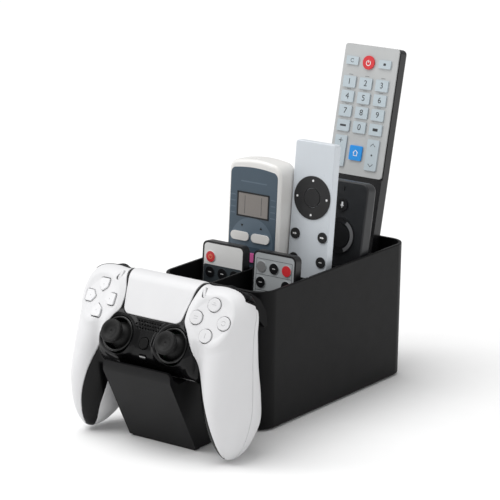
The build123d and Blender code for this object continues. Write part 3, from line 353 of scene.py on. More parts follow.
# The bumpers: their depths behind the face, inner end, foot, thickness and the gap round them.
BUMPER_LOW, BUMPER_HIGH, BUMPER_IN, BUMPER_FOOT, BUMPER_THICK, BUMPER_GAP = -19.5, -9.5, 37, 22.5, 5, 0.3


def bumper_room(u, v, w, depth):
    """Distance outside the space of the bumpers, with a gap all round and room for their press."""
    slab = np.maximum(BUMPER_LOW - BUMPER_GAP - w, w - BUMPER_HIGH - BUMPER_GAP)
    press = 0.04 * np.maximum(np.abs(u) - BUMPER_IN, 0)
    inner = np.maximum(BUMPER_IN - BUMPER_GAP - np.abs(u), BUMPER_FOOT - BUMPER_GAP - press - v)
    return np.maximum(np.maximum(slab, inner), -depth - BUMPER_THICK - BUMPER_GAP)


TRIGGER_IN, TRIGGER_OUT = 40, 63


def trigger_room(u, v, w):
    """Distance outside the pockets in which the triggers hang."""
    side = np.abs(u)
    pocket = np.maximum(np.maximum(TRIGGER_IN - 0.5 - side, side - TRIGGER_OUT - 0.5), 10.5 - v)
    shoulder = np.maximum(BUMPER_IN - 0.3 - side, BUMPER_FOOT - 4 - v)
    return np.maximum(np.minimum(pocket, shoulder), w + 19.5)


def port_room(u, v, w):
    """Distance outside the charging port's opening, in the top edge."""
    return np.maximum(both(np.abs(u) - 4.9, np.abs(w + 20.2) - 2, 1.8), 15 - v)


def jack_room(u, v, w):
    """Distance outside the headset jack's hole, in the bottom edge."""
    return np.maximum(np.hypot(u, w + 18.5) - 3.4, v + 35)


def cut(solid, hole, edge=0.3):
    """Inside the solid and outside the hole, with the hole's edge rounded."""
    return both(solid, -hole, edge)


def wings(u, v, w):
    """Distance outside the white front cover, a shell with holes for the keys."""
    depth = skin(u, v, w)
    solid = both(depth, -depth - SHELL, 0.3)
    solid = both(solid, -seam_side(u, v, w), 0.45)
    solid = both(solid, 0.16 - wing_side(u, v), 0.45)
    for key_hole in KEY_CUTS:
        solid = cut(solid, key_hole(u, v, w))
    solid = cut(solid, bumper_room(u, v, w, depth))
    return cut(cut(solid, trigger_room(u, v, w)), port_room(u, v, w))


RIM_RISE, RIM_REACH, RIM_SLOPE = 1.1, 20.5, 4


def well_rim(u, v):
    """Height of the low rim that the black middle has round each stick well."""
    return RIM_RISE * eased(np.clip((RIM_REACH - well(u, v, 0)) / RIM_SLOPE, 0, 1))


# Rows of speaker holes below the touchpad: the height of each row and its number of holes.
SPEAKER_ROWS, SPEAKER_PITCH, SPEAKER_HOLE = ((-11.6, 9), (-14.2, 10), (-16.8, 9)), 2.6, 0.55
MICROPHONE_HEIGHT, MICROPHONE_HOLE = -41.2, 0.6


def black_middle(u, v, w):
    """Distance outside the black middle, with its wells, keys, speaker holes and microphone hole."""
    depth = skin(u, v, w) - well_rim(u, v)
    solid = both(depth, -depth - 2.6, 0.3)
    solid = both(solid, -seam_side(u, v, w), 0.45)
    solid = both(solid, wing_side(u, v) + 0.16, 0.35)
    solid = both(solid, 0.3 - pad_outline(u, v), 0.5)
    solid = cut(solid, well(u, v, 14.5), 0.5)
    for key_hole in MIDDLE_CUTS:
        solid = cut(solid, key_hole(u, v, w), 0.25)
    for row, count in SPEAKER_ROWS:
        step = u / SPEAKER_PITCH - (count % 2 - 1) / 2
        dot = np.hypot(np.abs(step - np.round(step)) * SPEAKER_PITCH, v - row) - SPEAKER_HOLE
        solid = cut(solid, np.maximum(dot, np.abs(u) - SPEAKER_PITCH * count / 2), 0.12)
    solid = cut(solid, np.hypot(u, v - MICROPHONE_HEIGHT) - MICROPHONE_HOLE, 0.15)
    solid = cut(solid, bumper_room(u, v, w, depth))
    return cut(cut(solid, jack_room(u, v, w)), port_room(u, v, w))


# Screw recesses in the back cover: their places on either side, and their radius.
SCREW_PLACES, SCREW_RECESS = ((38.5, -10), (40, -39)), 2.2


def back_shell(u, v, w):
    """Distance outside the white back cover, with its screw recesses."""
    depth = skin(u, v, w)
    solid = both(depth, -depth - SHELL, 0.3)
    solid = both(solid, seam_side(u, v, w) + 0.3, 0.45)
    solid = cut(solid, bumper_room(u, v, w, depth))
    solid = cut(cut(solid, trigger_room(u, v, w)), port_room(u, v, w))
    for screw_u, screw_v in SCREW_PLACES:
        recess = np.hypot(np.abs(u) - screw_u, v - screw_v) - SCREW_RECESS
        solid = cut(solid, np.maximum(recess, w + 20), 0.2)
    return cut(solid, jack_room(u, v, w))


def surface_slope(solid, points):
    """Distance outside the solid at each point, and how steeply it grows along each axis."""
    step = 0.06
    value = solid(*points.T)
    slope = np.zeros_like(points)
    for axis in range(3):
        shift = np.zeros(3)
        shift[axis] = step
        slope[:, axis] = (solid(*(points + shift).T) - solid(*(points - shift).T)) / (2 * step)
    return value, slope


def net(solid, low, high, cell):
    """A closed net drawn over a solid: one knot in each cell that the surface passes, pulled onto it."""
    lines = [np.arange(lo, hi + cell, cell) for lo, hi in zip(low, high)]
    depth = solid(*np.meshgrid(*lines, indexing="ij"))
    inside = depth < 0
    shape = tuple(n - 1 for n in depth.shape)
    corners = [(i, j, k) for i in (0, 1) for j in (0, 1) for k in (0, 1)]
    filled = sum(inside[i:i + shape[0], j:j + shape[1], k:k + shape[2]].astype(np.int8)
                 for i, j, k in corners)
    crossed = (filled > 0) & (filled < 8)
    number = np.full(shape, -1)
    number[crossed] = np.arange(crossed.sum())
    cells = np.argwhere(crossed)
    total, count = np.zeros((len(cells), 3)), np.zeros(len(cells))
    # a knot starts in the middle of the places where the surface passes its cell's edges
    for a in corners:
        for axis in range(3):
            if a[axis]:
                continue
            b = tuple(1 if n == axis else a[n] for n in range(3))
            fa, fb = (depth[tuple((cells + c).T)] for c in (a, b))
            hit = (fa < 0) != (fb < 0)
            share = np.where(hit, fa / np.where(hit, fa - fb, 1), 0)
            spot = np.array(a) + share[:, None] * (np.array(b) - np.array(a))
            total += spot * hit[:, None]
            count += hit
    knots = np.array([line[0] for line in lines]) + (cells + total / count[:, None]) * cell
    faces = []
    # one face joins the four knots round each edge of the grid that the surface passes
    for axis in range(3):
        one, two = [n for n in range(3) if n != axis]
        step = [0, 0, 0]
        step[axis] = 1
        end = tuple(slice(s, None) for s in step)
        start = tuple(slice(0, -s or None) for s in step)
        change = inside[start] != inside[end]
        spots = np.argwhere(change)
        spots = spots[(spots[:, one] > 0) & (spots[:, two] > 0)
                      & (spots[:, one] < shape[one]) & (spots[:, two] < shape[two])]
        leaving = inside[tuple(spots.T)]
        ring = []
        for back_one, back_two in ((1, 1), (0, 1), (0, 0), (1, 0)):
            index = spots.copy()
            index[:, one] -= back_one
            index[:, two] -= back_two
            ring.append(number[tuple(index.T)])
        quads = np.stack(ring, 1)
        flip = leaving if axis == 1 else ~leaving
        quads[flip] = quads[flip][:, ::-1]
        faces.append(quads)
    for _ in range(4):
        value, slope = surface_slope(solid, knots)
        pull = value[:, None] * slope / np.maximum((slope**2).sum(1), 0.05)[:, None]
        length = np.linalg.norm(pull, axis=1)[:, None]
        knots -= pull * np.minimum(1, 0.5 * cell / np.maximum(length, 1e-9))
    _, slope = surface_slope(solid, knots)
    return knots, np.concatenate(faces), slope / np.linalg.norm(slope, axis=1)[:, None]


def fitted(name, mesh, body):
    """Makes a drawn mesh a piece that rides on a body."""
    piece = bpy.data.objects.new(name, mesh)
    bpy.context.scene.collection.objects.link(piece)
    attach(piece, body)
    return piece


def moulded(name, solid, low, high, cell, material, inside, body, replaced):
    """Draws a net over the solid, and makes it a piece that stands for a CAD one."""
    knots, faces, normals = net(solid, low, high, cell)
    turn = np.array(to_place.to_3x3())
    mesh = bpy.data.meshes.new(name)
    mesh.vertices.add(len(knots))
    mesh.vertices.foreach_set("co", (turn @ knots.T + np.array(to_place.translation)[:, None]).T.ravel())
    mesh.loops.add(4 * len(faces))
    mesh.loops.foreach_set("vertex_index", faces.astype(np.int32).ravel())
    mesh.polygons.add(len(faces))
    mesh.polygons.foreach_set("loop_start", np.arange(len(faces), dtype=np.int32) * 4)
    mesh.update(calc_edges=True)
    mesh.validate()
    mesh.shade_smooth()
    mesh.normals_split_custom_set_from_vertices((turn / MM @ normals.T).T)
    mesh.materials.append(material)
    mesh.materials.append(inside)
    centres = knots[faces].mean(1)
    # Faces more than 0.75 mm under the skin take the second material; on the white covers and the touchpad
    # that is a darker grey, painted shade in the gaps and key holes.
    mesh.polygons.foreach_set("material_index", (skin(*centres.T) < -0.75).astype(np.int32))
    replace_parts(fitted(name, mesh, body), replaced)


CELL = 0.7
cover_white = finish("fine-textured white plastic", (0.69, 0.69, 0.70), 0.45, grain=0.3, relief=0.012,
                     mottle=0.012)
# Painted shade: the walls of the gaps and key holes and the covers' inner faces are given a darker grey so the
# gaps read dark.
painted_gap_shade = finish("grey painted shade in the gaps", (0.16, 0.16, 0.165), 0.6, relief=0, mottle=0.05)
trim_black = finish("polished black plastic", (0.003, 0.003, 0.0033), 0.2, grain=0.3, relief=0, mottle=0.1,
                    uneven=0.05, shine=0.2)
trim_inside = finish("bare black plastic inside", (0.006, 0.006, 0.006), 0.6, relief=0, mottle=0.05,
                     shine=0.2)
moulded("white_wings", wings, (-84, -98, -62), (84, 34, 4), CELL, cover_white, painted_gap_shade,
        "controller", "front_cover")
moulded("black_middle", black_middle, (-74, -98, -62), (74, 34, 4), CELL, trim_black, trim_inside,
        "controller", "centre_trim")
moulded("white_back", back_shell, (-84, -98, -82), (84, 34, -15), CELL, cover_white, painted_gap_shade,
        "controller", "back_cover")
dress("case_screws", zinc, edge=0.15)

# ======================================================================================
# Touchpad: one wide white key between the wings, pivoted at its top edge so that its lower
# edge clicks. It is moulded in the same white as the wings, with a finer matt texture.
# ======================================================================================
def touch_plate(u, v, w):
    """Distance outside the touchpad, which stands a little proud of the covers."""
    depth = skin(u, v, w) - 0.25
    solid = both(depth, -depth - SHELL, 0.3)
    solid = both(solid, pad_outline(u, v), 0.6)
    return both(solid, -12 - w, 0.6)


pad_white = finish("touchpad white plastic", (0.68, 0.68, 0.69), 0.4, grain=0.45, relief=0.015, mottle=0.012)
moulded("touch_plate", touch_plate, (-38, -12, -14), (38, 34, 3), CELL * 0.85, pad_white, painted_gap_shade,
        "touchpad", "touchpad")

# ======================================================================================
# Keys: four arrow-shaped direction keys, four round keys, two thin bars beside the touchpad,
# and a round home key and a mute key in the black middle. Each is a smooth moulding with its
# mark printed under a clear skin; the marks are plain bars, dots and arcs.
# ======================================================================================
key_white = finish("smooth white key plastic", (0.69, 0.69, 0.70), 0.28, relief=0, mottle=0.01)
key_black = finish("smooth black key plastic", (0.005, 0.005, 0.005), 0.22, relief=0, shine=0.12)
lamp_grey = finish("frosted lamp bar", (0.42, 0.42, 0.42), 0.35, relief=0)
mark_grey = finish("grey key print", (0.42, 0.42, 0.43), 0.4, relief=0, mottle=0.02)


def arc(x, y, radius, start, end, count=24):
    """Points along an arc; the angles are in degrees."""
    steps = [radians(start + (end - start) * i / count) for i in range(count + 1)]
    return [(x + radius * cos(a), y + radius * sin(a)) for a in steps]


def stroke(points, width):
    """A line of even width through the points, as one closed outline."""
    path = [Vector(point) for point in points]
    left, right = [], []
    for i, point in enumerate(path):
        before = (point - path[i - 1]).normalized() if i else None
        after = (path[i + 1] - point).normalized() if i + 1 < len(path) else None
        heading = ((before or after) + (after or before)).normalized()
        side = Vector((-heading.y, heading.x)) * (width / 2)
        left.append(tuple(point + side))
        right.append(tuple(point - side))
    return right + left[::-1]


def printed(name, outlines, place, material, body, thickness=0.06):
    """Thin print lying on a face: place is a matrix whose x and y lie in the face, all in millimetres."""
    points, faces = [], []
    for outline in outlines:
        first, count = len(points), len(outline)
        points += [(x, y, 0) for x, y in outline] + [(x, y, thickness) for x, y in outline]
        faces.append([first + count + i for i in range(count)])
        faces.append([first + i for i in reversed(range(count))])
        faces += [[first + i, first + (i + 1) % count, first + count + (i + 1) % count, first + count + i]
                  for i in range(count)]
    mesh = bpy.data.meshes.new(name)
    mesh.from_pydata(points, [], faces)
    mesh.transform(place)
    mesh.materials.append(material)
    return fitted(name, mesh, body)


def key_top(key):
    """A matrix on a controller key's top: x to the right, y up the face."""
    out, centre = key_frame(key)
    normal = (to_place.to_3x3() @ Vector(out)).normalized()
    right = (across - normal * across.dot(normal)).normalized()
    up = normal.cross(right)
    return plane_of(right, up, normal, to_place @ Vector(centre) + normal * (0.01 * MM))


MARK = 0.42
white_keys = {f"dpad_{word}": [arc(0, 0, MARK, 0, 345, 23)] for word in ("up", "left", "down", "right")}
white_keys["face_button_top"] = [stroke([(-1.9, 0), (1.9, 0)], MARK), stroke([(-1.1, 1.5), (1.1, 1.5)], MARK)]
white_keys["face_button_left"] = [stroke([(-1.7, y), (1.7, y)], MARK) for y in (0.9, -0.9)]
white_keys["face_button_bottom"] = [stroke([(0, -1.9), (0, 1.9)], MARK)]
white_keys["face_button_right"] = [stroke(arc(0, 0, 1.7, start, start + 140), MARK) for start in (20, 200)]
for key, outlines in white_keys.items():
    dress(key, key_white, edge=0)
    printed(f"{key}_mark", outlines, key_top(key), mark_grey, key)
for key in ("create_button", "options_button"):
    dress(key, key_white, edge=0)
for key in ("home_button", "mute_button"):
    dress(key, key_black, edge=0)
printed("mute_bar", [stroke([(-2.9, 0), (2.9, 0)], 1.0)], key_top("mute_button"), lamp_grey, "mute_button")

# ======================================================================================
# Shoulder buttons: a curved bumper and a long hooked trigger at each side, in satin black
# plastic. The bumper rocks on a boss at its inner end; the trigger turns on a steel pin.
# ======================================================================================
shoulder_black = finish("satin black plastic", (0.004, 0.004, 0.0045), 0.32, grain=0.4, relief=0.012,
                        shine=0.05)


def bumper(u, v, w):
    """Distance outside the bumpers, which stand a little proud of the covers."""
    depth = skin(u, v, w) - 0.7
    solid = both(depth, -depth - BUMPER_THICK, 0.8)
    solid = both(solid, np.maximum(BUMPER_LOW - w, w - BUMPER_HIGH), 0.9)
    return both(solid, np.maximum(BUMPER_IN - np.abs(u), BUMPER_FOOT - v), 0.9)


for side, word in ((-1, "left"), (1, "right")):
    ends = sorted((side * 36, side * 80))
    moulded(f"{word}_bumper_cap", bumper, (ends[0], 15, -21), (ends[1], 36, -8), CELL, shoulder_black,
            shoulder_black, f"{word}_bumper", f"{word}_bumper")
    dress(f"{word}_trigger", shoulder_black, edge=1.2)
dress("trigger_pins", zinc, edge=0.15)

# ======================================================================================
# Thumb sticks: a rubber cap with a dished top and a finely notched rim, on a dome that hides
# the well. A polished ring lines each well. Each stick tilts in a small plastic gimbal.
# ======================================================================================
stick_rubber = finish("soft black rubber", (0.009, 0.009, 0.009), 0.55, grain=0.35, relief=0.02, shine=0.22)
ring_black = finish("polished ring plastic", (0.004, 0.004, 0.004), 0.16, relief=0, shine=0.35)


def turned(name, profile, centre, material, body, notch=None, segments=96):
    """A round piece turned about a line out of the face, from its (radius, height) profile.

    A notch is the radius beyond which every other step is cut in, and how far."""
    points, faces = [], []
    for i in range(segments):
        angle = 2 * pi * i / segments
        for radius, height in profile:
            if notch and radius > notch[0]:
                radius -= notch[1] * (i % 2)
            points.append((centre[0] + radius * cos(angle), centre[1] + radius * sin(angle),
                           centre[2] + height))
    rows = len(profile)
    for i in range(segments):
        here, there = i * rows, (i + 1) % segments * rows
        faces += [(here + j, there + j, there + (j + 1) % rows, here + (j + 1) % rows) for j in range(rows)]
    mesh = bpy.data.meshes.new(name)
    mesh.from_pydata(points, [], faces)
    mesh.transform(to_place)
    mesh.shade_smooth()
    mesh.materials.append(material)
    piece = fitted(name, mesh, body)
    even = piece.modifiers.new("even shading", "WEIGHTED_NORMAL")
    even.keep_sharp = True
    return piece


CAP, NECK, DOME = 9.3, 4.0, 11.5
# the dished top, the rim, the underside of the cap, the dome, and the stem inside it
cap_profile = ([(0.02, 18.2), (2, 18.22), (3.6, 18.3), (4.4, 18.6), (5.2, 19.2), (6, 19.75)]
               + [(6.8, 20.0), (8.2, 20.0), (8.8, 19.75), (CAP, 19.2), (CAP, 16.4), (8.9, 15.6),
                  (8.1, 15.2), (5.2, 14.6), (NECK, 13.6)]
               + [(DOME * cos(a), DOME * sin(a)) for a in np.linspace(radians(69.6), radians(10), 14)]
               + [(DOME - 1.6, 2.0), (2.4, 8.6), (2.4, -3), (0.02, -3)])
ring_profile = [(11.4, -2.6), (12.4, 0.9), (12.7, 1.35), (13.2, 1.5), (13.7, 1.35), (14.1, 0.9), (14.2, 0.2),
                (14.2, -2.6)]
for side, word in ((-1, "left"), (1, "right")):
    cap = turned(f"{word}_stick_cap", cap_profile, (side * STICK_U, STICK_V, PIVOT_W), stick_rubber,
                 f"{word}_stick", notch=(9.0, 0.12), segments=144)
    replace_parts(cap, f"{word}_stick")
rings = [turned(f"{word}_well_ring", ring_profile, (side * STICK_U, STICK_V, 0), ring_black, "controller") for side, word in ((-1, "left"), (1, "right"))]
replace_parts(rings[0], "stick_rings")
acetal = finish("natural acetal", (0.5, 0.5, 0.48), 0.4, relief=0)
for gimbal in ("left_gimbal", "right_gimbal"):
    dress(gimbal, acetal, edge=0.1)

# ======================================================================================
# Inside the controller: a moulded frame, a circuit board, a wrapped cell, motors, a speaker,
# sockets and pressed-steel stick units, soldered or clipped in place. They are only seen
# through the seams and sockets, so they keep their CAD shapes.
# ======================================================================================
tin = finish("tin-plated steel", (0.45, 0.45, 0.46), 0.3, relief=0, metal=1.0)
solder_mask = finish("green solder mask", (0.01, 0.07, 0.03), 0.3, relief=0)
frame_black = finish("plain black moulding", (0.012, 0.012, 0.012), 0.5, shine=0.3)
cell_wrap = finish("shrink wrap", (0.02, 0.02, 0.03), 0.25, relief=0)
for can in ("stick_modules", "usb_port", "rumble_motors"):
    dress(can, tin, edge=0.1)
dress("main_board", solder_mask, edge=0)
dress("mid_frame", frame_black, edge=0)
dress("battery", cell_wrap, edge=0.3)
for socket in ("headset_jack", "speaker"):
    dress(socket, frame_black, edge=0.1)

# ======================================================================================
# Card remotes: two thin cases moulded in black plastic. A printed film is glued in a shallow
# recess of each, and is embossed over the dome keys. Like the other remotes, both stand
# loose on the caddy's floor and lean back.
# ======================================================================================
def lie(remote, node):
    """A matrix on a node's outermost face: millimetres, x across and y up from the remote's foot."""
    up = Vector(joints[f"{remote}_lift"]["axis"])
    out = across.cross(up)
    case = nodes[f"{remote}_case"].data.vertices
    foot = min(corner.co.dot(up) for corner in case)
    middle = sum(corner.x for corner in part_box(f"{remote}_case")) / 2
    height = max(corner.co.dot(out) for corner in nodes[node].data.vertices)
    return plane_of(across, up, out, across * middle + up * foot + out * (height + 0.01 * MM))


def tint(remote, node, material, low, high, deepest=-99):
    """Gives the part of a node between two corners of its face, down to a depth, another finish."""
    piece = nodes[node]
    back = lie(remote, node).inverted()
    piece.data.materials.append(material)
    index = len(piece.data.materials) - 1
    for polygon in piece.data.polygons:
        spot = back @ polygon.center
        if low[0] < spot.x < high[0] and low[1] < spot.y < high[1] and spot.z > deepest:
            polygon.material_index = index


def disc(x, y, radius, count=40):
    """The outline of a round spot."""
    return arc(x, y, radius, 0, 360 * (count - 1) / count, count - 1)


def panel_outline(x, y, width, height, corner):
    """The outline of a panel with rounded corners."""
    half_x, half_y = width / 2 - corner, height / 2 - corner
    return [point for cx, cy, start in ((half_x, half_y, 0), (-half_x, half_y, 90), (-half_x, -half_y, 180),
                                        (half_x, -half_y, 270))
            for point in arc(x + cx, y + cy, corner, start, start + 90, 8)]


def power_sign(x, y, size):
    """An open ring with an upright bar."""
    return [stroke(path, size * 0.3)
            for path in (arc(x, y, size, 120, 420), [(x, y + size * 0.2), (x, y + size * 1.25)])]


def lifted(place, height):
    """The same place, a little further out of the face, in millimetres."""
    return place @ Matrix.Translation((0, 0, height))


print_white = finish("white print", (0.8, 0.8, 0.8), 0.5, relief=0, mottle=0.01)
print_dark = finish("dark print", (0.02, 0.022, 0.025), 0.5, relief=0, mottle=0.01)
print_black = finish("black print", (0.006, 0.006, 0.007), 0.35, relief=0, mottle=0.01, shine=0.3)
key_red = finish("red key", (0.62, 0.022, 0.03), 0.38, relief=0, mottle=0.03)
mini_black = finish("card remote black plastic", (0.01, 0.01, 0.011), 0.34, grain=0.4, relief=0.01,
                    shine=0.35)
film_white = finish("white printed film", (0.74, 0.74, 0.73), 0.35, relief=0, mottle=0.01)
film_silver = finish("silver-grey printed film", (0.40, 0.42, 0.43), 0.3, relief=0, mottle=0.02)
film_dark = finish("dark printed film", (0.045, 0.055, 0.062), 0.3, relief=0, mottle=0.02)
orange = finish("orange print", (0.85, 0.3, 0.12), 0.5, relief=0, mottle=0.01)
key_grey = finish("grey print", (0.2, 0.2, 0.2), 0.4, relief=0)
# The remote's length, the space between rows and between columns of keys, the radius of a
# printed key, and how far the embossed key tops stand over the film.
MINI_LENGTH, MINI_ROW, MINI_COLUMN, MINI_KEY, MINI_DOME = 127, 12.6, 12.4, 4.4, 0.6
FIRST_ROW = MINI_LENGTH - 12.6
OVER_PRINT = 0.07


def key_place(row, column):
    """The middle of a key of the grid, counted from the top row and the middle column."""
    return column * MINI_COLUMN, FIRST_ROW - row * MINI_ROW


def key_bars(places, half):
    """A short white bar in the middle of each key."""
    return [stroke([(x - half, y), (x + half, y)], 0.5) for x, y in places]


for word, film in (("left", film_white), ("right", film_silver)):
    dress(f"mini_remote_{word}_case", mini_black, edge=0.4)
    dress(f"mini_remote_{word}_overlay", film, edge=0.15)
key_tops = {word: lie(f"mini_remote_{word}", f"mini_remote_{word}_overlay") for word in ("left", "right")}


def film_print(name, outlines, height, material):
    """Print on a card remote's film, at a height over its key tops."""
    word = name.split("_")[1]
    printed(name, outlines, lifted(key_tops[word], height), material, f"mini_remote_{word}")


film_print("mini_left_panel", [panel_outline(0, 55.3, 38.2, 105, 1.5)], -MINI_DOME, film_dark)
tint("mini_remote_left", "mini_remote_left_overlay", film_dark, (-19, 0), (19, FIRST_ROW - 6), -0.52)
film_print("mini_left_power", [disc(*key_place(0, -1), 4.45)], 0, key_red)
film_print("mini_left_power_sign", power_sign(*key_place(0, -1), 1.7), OVER_PRINT, orange)
left_keys = [key_place(row, column) for row in range(1, 8) for column in (-1, 0, 1)]
film_print("mini_left_keys", [disc(x, y, MINI_KEY) for x, y in left_keys], 0, print_black)
film_print("mini_left_marks", key_bars(left_keys, 1.5), OVER_PRINT, print_white)

LINE_HALF, LINE_HEIGHTS = 17.5, [FIRST_ROW + offset for offset in (6.4, -6.3, -19, -31.5)]
frame_lines = [stroke([(-LINE_HALF, y), (LINE_HALF, y)], 0.3) for y in LINE_HEIGHTS]
frame_lines += [stroke([(x, LINE_HEIGHTS[0]), (x, LINE_HEIGHTS[-1])], 0.3) for x in (-LINE_HALF, LINE_HALF)]
film_print("mini_right_lines", frame_lines, -MINI_DOME, print_dark)
grey_key, red_key = key_place(0, -1), key_place(0, 1)
black_keys = [key_place(0, 0)] + [key_place(row, column) for row in range(1, 8) for column in (-1, 0, 1)
                                  if (row, column) != (1, 0)]
film_print("mini_right_grey_key", [disc(*grey_key, MINI_KEY)], 0, key_grey)
film_print("mini_right_red_key", [disc(*red_key, MINI_KEY)], 0, key_red)
film_print("mini_right_keys", [disc(x, y, MINI_KEY) for x, y in black_keys], 0, print_black)
film_print("mini_right_marks", key_bars(black_keys, 1.4), OVER_PRINT, print_white)

# ======================================================================================
# Air-conditioner remote: a thick glossy white case with an arched slate panel, both moulded,
# a liquid-crystal display behind a black-edged window, and soft oval keys of one rubber mat.
# ======================================================================================
ac_white = finish("glossy white case plastic", (0.76, 0.75, 0.73), 0.25, relief=0, mottle=0.01)
slate = finish("slate panel plastic", (0.045, 0.075, 0.105), 0.38, grain=0.3, relief=0.008, mottle=0.04)
slate_light = finish("lighter slate print", (0.085, 0.125, 0.165), 0.38, relief=0, mottle=0.03)
lcd = finish("display", (0.17, 0.15, 0.135), 0.25, relief=0, mottle=0.04, coat=0.6)
ac_key = finish("soft white keys", (0.72, 0.71, 0.69), 0.5, relief=0, mottle=0.01)
pink = finish("pink key", (0.8, 0.14, 0.42), 0.45, relief=0, mottle=0.02)


def slab(name, outline, place, low, high, edge, material, slot_name, replaced):
    """A flat piece with rounded edges, drawn as an outline between two heights."""
    count = len(outline)
    points = [(x, y, height) for height in (low, high) for x, y in outline]
    faces = [list(reversed(range(count)))]
    faces += [[i, (i + 1) % count, count + (i + 1) % count, count + i] for i in range(count)]
    faces.append([count + i for i in range(count)])
    mesh = bpy.data.meshes.new(name)
    mesh.from_pydata(points, [], faces)
    mesh.transform(place)
    mesh.shade_smooth()
    mesh.materials.append(material)
    piece = fitted(name, mesh, "ac_remote")
    rounding = piece.modifiers.new("rounded edges", "BEVEL")
    rounding.width = edge * MM
    rounding.segments = 6
    rounding.limit_method = "ANGLE"
    rounding.angle_limit = radians(40)
    rounding.harden_normals = True
    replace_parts(piece, replaced)


def arched_outline(half, low, high, corner, rise):
    """An upright panel whose top edge bows up by rise."""
    bow = (half**2 + rise**2) / (2 * rise)
    lean_in = np.degrees(np.arcsin((half - corner) / bow))
    top = high - bow
    crown = arc(0, top, bow, 90 - lean_in, 90 + lean_in, 16)
    edge_y = crown[0][1] - corner
    return (arc(half - corner, edge_y, corner, 0, 84, 8) + crown
            + arc(corner - half, edge_y, corner, 96, 180, 8) + [(-half, low), (half, low)])


AC_HALF, AC_LENGTH, AC_DEPTH = 26, 190, 22.5
ac_back = lifted(lie("ac_remote", "ac_remote_case"), -AC_DEPTH)
slab("ac_case", arched_outline(AC_HALF, 0, AC_LENGTH - 1, 9, 3.5), ac_back, 0, AC_DEPTH - 0.3, 3.2, ac_white,
     "ac_case_white", "ac_remote_case")
ac_face = lie("ac_remote", "ac_remote_fascia")
slab("ac_fascia", arched_outline(23.4, 30, 182.6, 5, 2.4), ac_face, -0.9, -0.02, 0.25, slate,
     "ac_fascia_grey", "ac_remote_fascia")
dress("ac_remote_screen", lcd, edge=0)
dress("ac_remote_keys", ac_key, edge=0.5)
tint("ac_remote", "ac_remote_keys", pink, (-10, 104), (8, 113))
# The window's middle height, width and height, and the width of its black edge.
WINDOW_MIDDLE, WINDOW_WIDE, WINDOW_HIGH, WINDOW_EDGE = 151.6, 30, 18.5, 1.2


def panel_print(name, outlines, height, material, thickness=0.06):
    """Print on the slate panel, at a height over it."""
    printed(name, outlines, lifted(ac_face, height), material, "ac_remote", thickness)


edge_bars = [panel_outline(0, WINDOW_MIDDLE + end * (WINDOW_HIGH / 2 + 0.5), WINDOW_WIDE + 2 * WINDOW_EDGE,
                           WINDOW_EDGE, 0.5) for end in (-1, 1)]
edge_bars += [panel_outline(end * (WINDOW_WIDE / 2 + 0.5), WINDOW_MIDDLE, WINDOW_EDGE, WINDOW_HIGH + 1, 0.5)
              for end in (-1, 1)]
panel_print("ac_window_frame", edge_bars, 0, print_black, thickness=0.3)
panel_print("ac_arch_zone", [arc(0, 120, 21.5, 8, 172, 30) + [(-21.3, 117), (21.3, 117)]], 0, slate_light,
            thickness=0.04)
labels = [stroke([(side * 20 - 2.4, y), (side * 20 + 2.4, y)], 0.9) for side in (-1, 1)
          for y in (143.5, 148.5, 153.5, 158.5)]
labels.append(stroke([(-13, 170.5), (13, 170.5)], 1.0))
panel_print("ac_labels", labels, 0, slate_light, thickness=0.05)
arrows = [[(-10.2, 132.6), (-8.9, 135), (-11.5, 135)], [(9, 135), (7.7, 132.6), (10.3, 132.6)]]
panel_print("ac_arrows", arrows, 0.05, print_black)
panel_print("ac_display", [panel_outline(0, WINDOW_MIDDLE, 29.6, 18.1, 0.6)], 0, lcd)
panel_print("ac_segments", [stroke([(x, 144), (x, 159)], 0.3) for x in (-8.2, 8.4)], OVER_PRINT, print_dark)

# ======================================================================================
# Slim remote: a thin cool-white moulded slab. A black ring of four directions goes round a
# centre key; it and the small round keys are soft caps, with white marks printed on them.
# ======================================================================================
slim_white = finish("cool white satin plastic", (0.62, 0.66, 0.70), 0.3, relief=0, mottle=0.01)
slim_black = finish("matt black ring", (0.02, 0.02, 0.021), 0.5, relief=0, shine=0.3)
dress("slim_remote_case", slim_white, edge=0.3)
dress("slim_remote_ring", slim_black, edge=0.2)
dress("slim_remote_keys", finish("matt black keys", (0.016, 0.016, 0.017), 0.45, relief=0, shine=0.3),
      edge=0.25)
# The ring's middle; the columns of the round keys, and the rows of those with an arrow and a bar.
SLIM_RING = (0.8, 163)
SLIM_COLUMNS, SLIM_ARROW_ROW, SLIM_BAR_ROW = (-13.2, 13.6), 132.2, 112
dots = [disc(SLIM_RING[0] + 14.4 * x, SLIM_RING[1] + 14.0 * y, 0.95)
        for x, y in ((1, 0), (-1, 0), (0, 1), (0, -1))]
printed("slim_dots", dots, lie("slim_remote", "slim_remote_ring"), print_white, "slim_remote")
slim_signs = []
for x in SLIM_COLUMNS:
    slim_signs += [stroke([(x - 2, SLIM_ARROW_ROW), (x - 0.2, SLIM_ARROW_ROW)], 1.1),
                   [(x + 0.1, SLIM_ARROW_ROW - 1), (x + 1.9, SLIM_ARROW_ROW), (x + 0.1, SLIM_ARROW_ROW + 1)],
                   stroke([(x - 1.4, SLIM_BAR_ROW), (x + 1.4, SLIM_BAR_ROW)], 0.6)]
printed("slim_marks", slim_signs, lie("slim_remote", "slim_remote_keys"), print_white, "slim_remote")

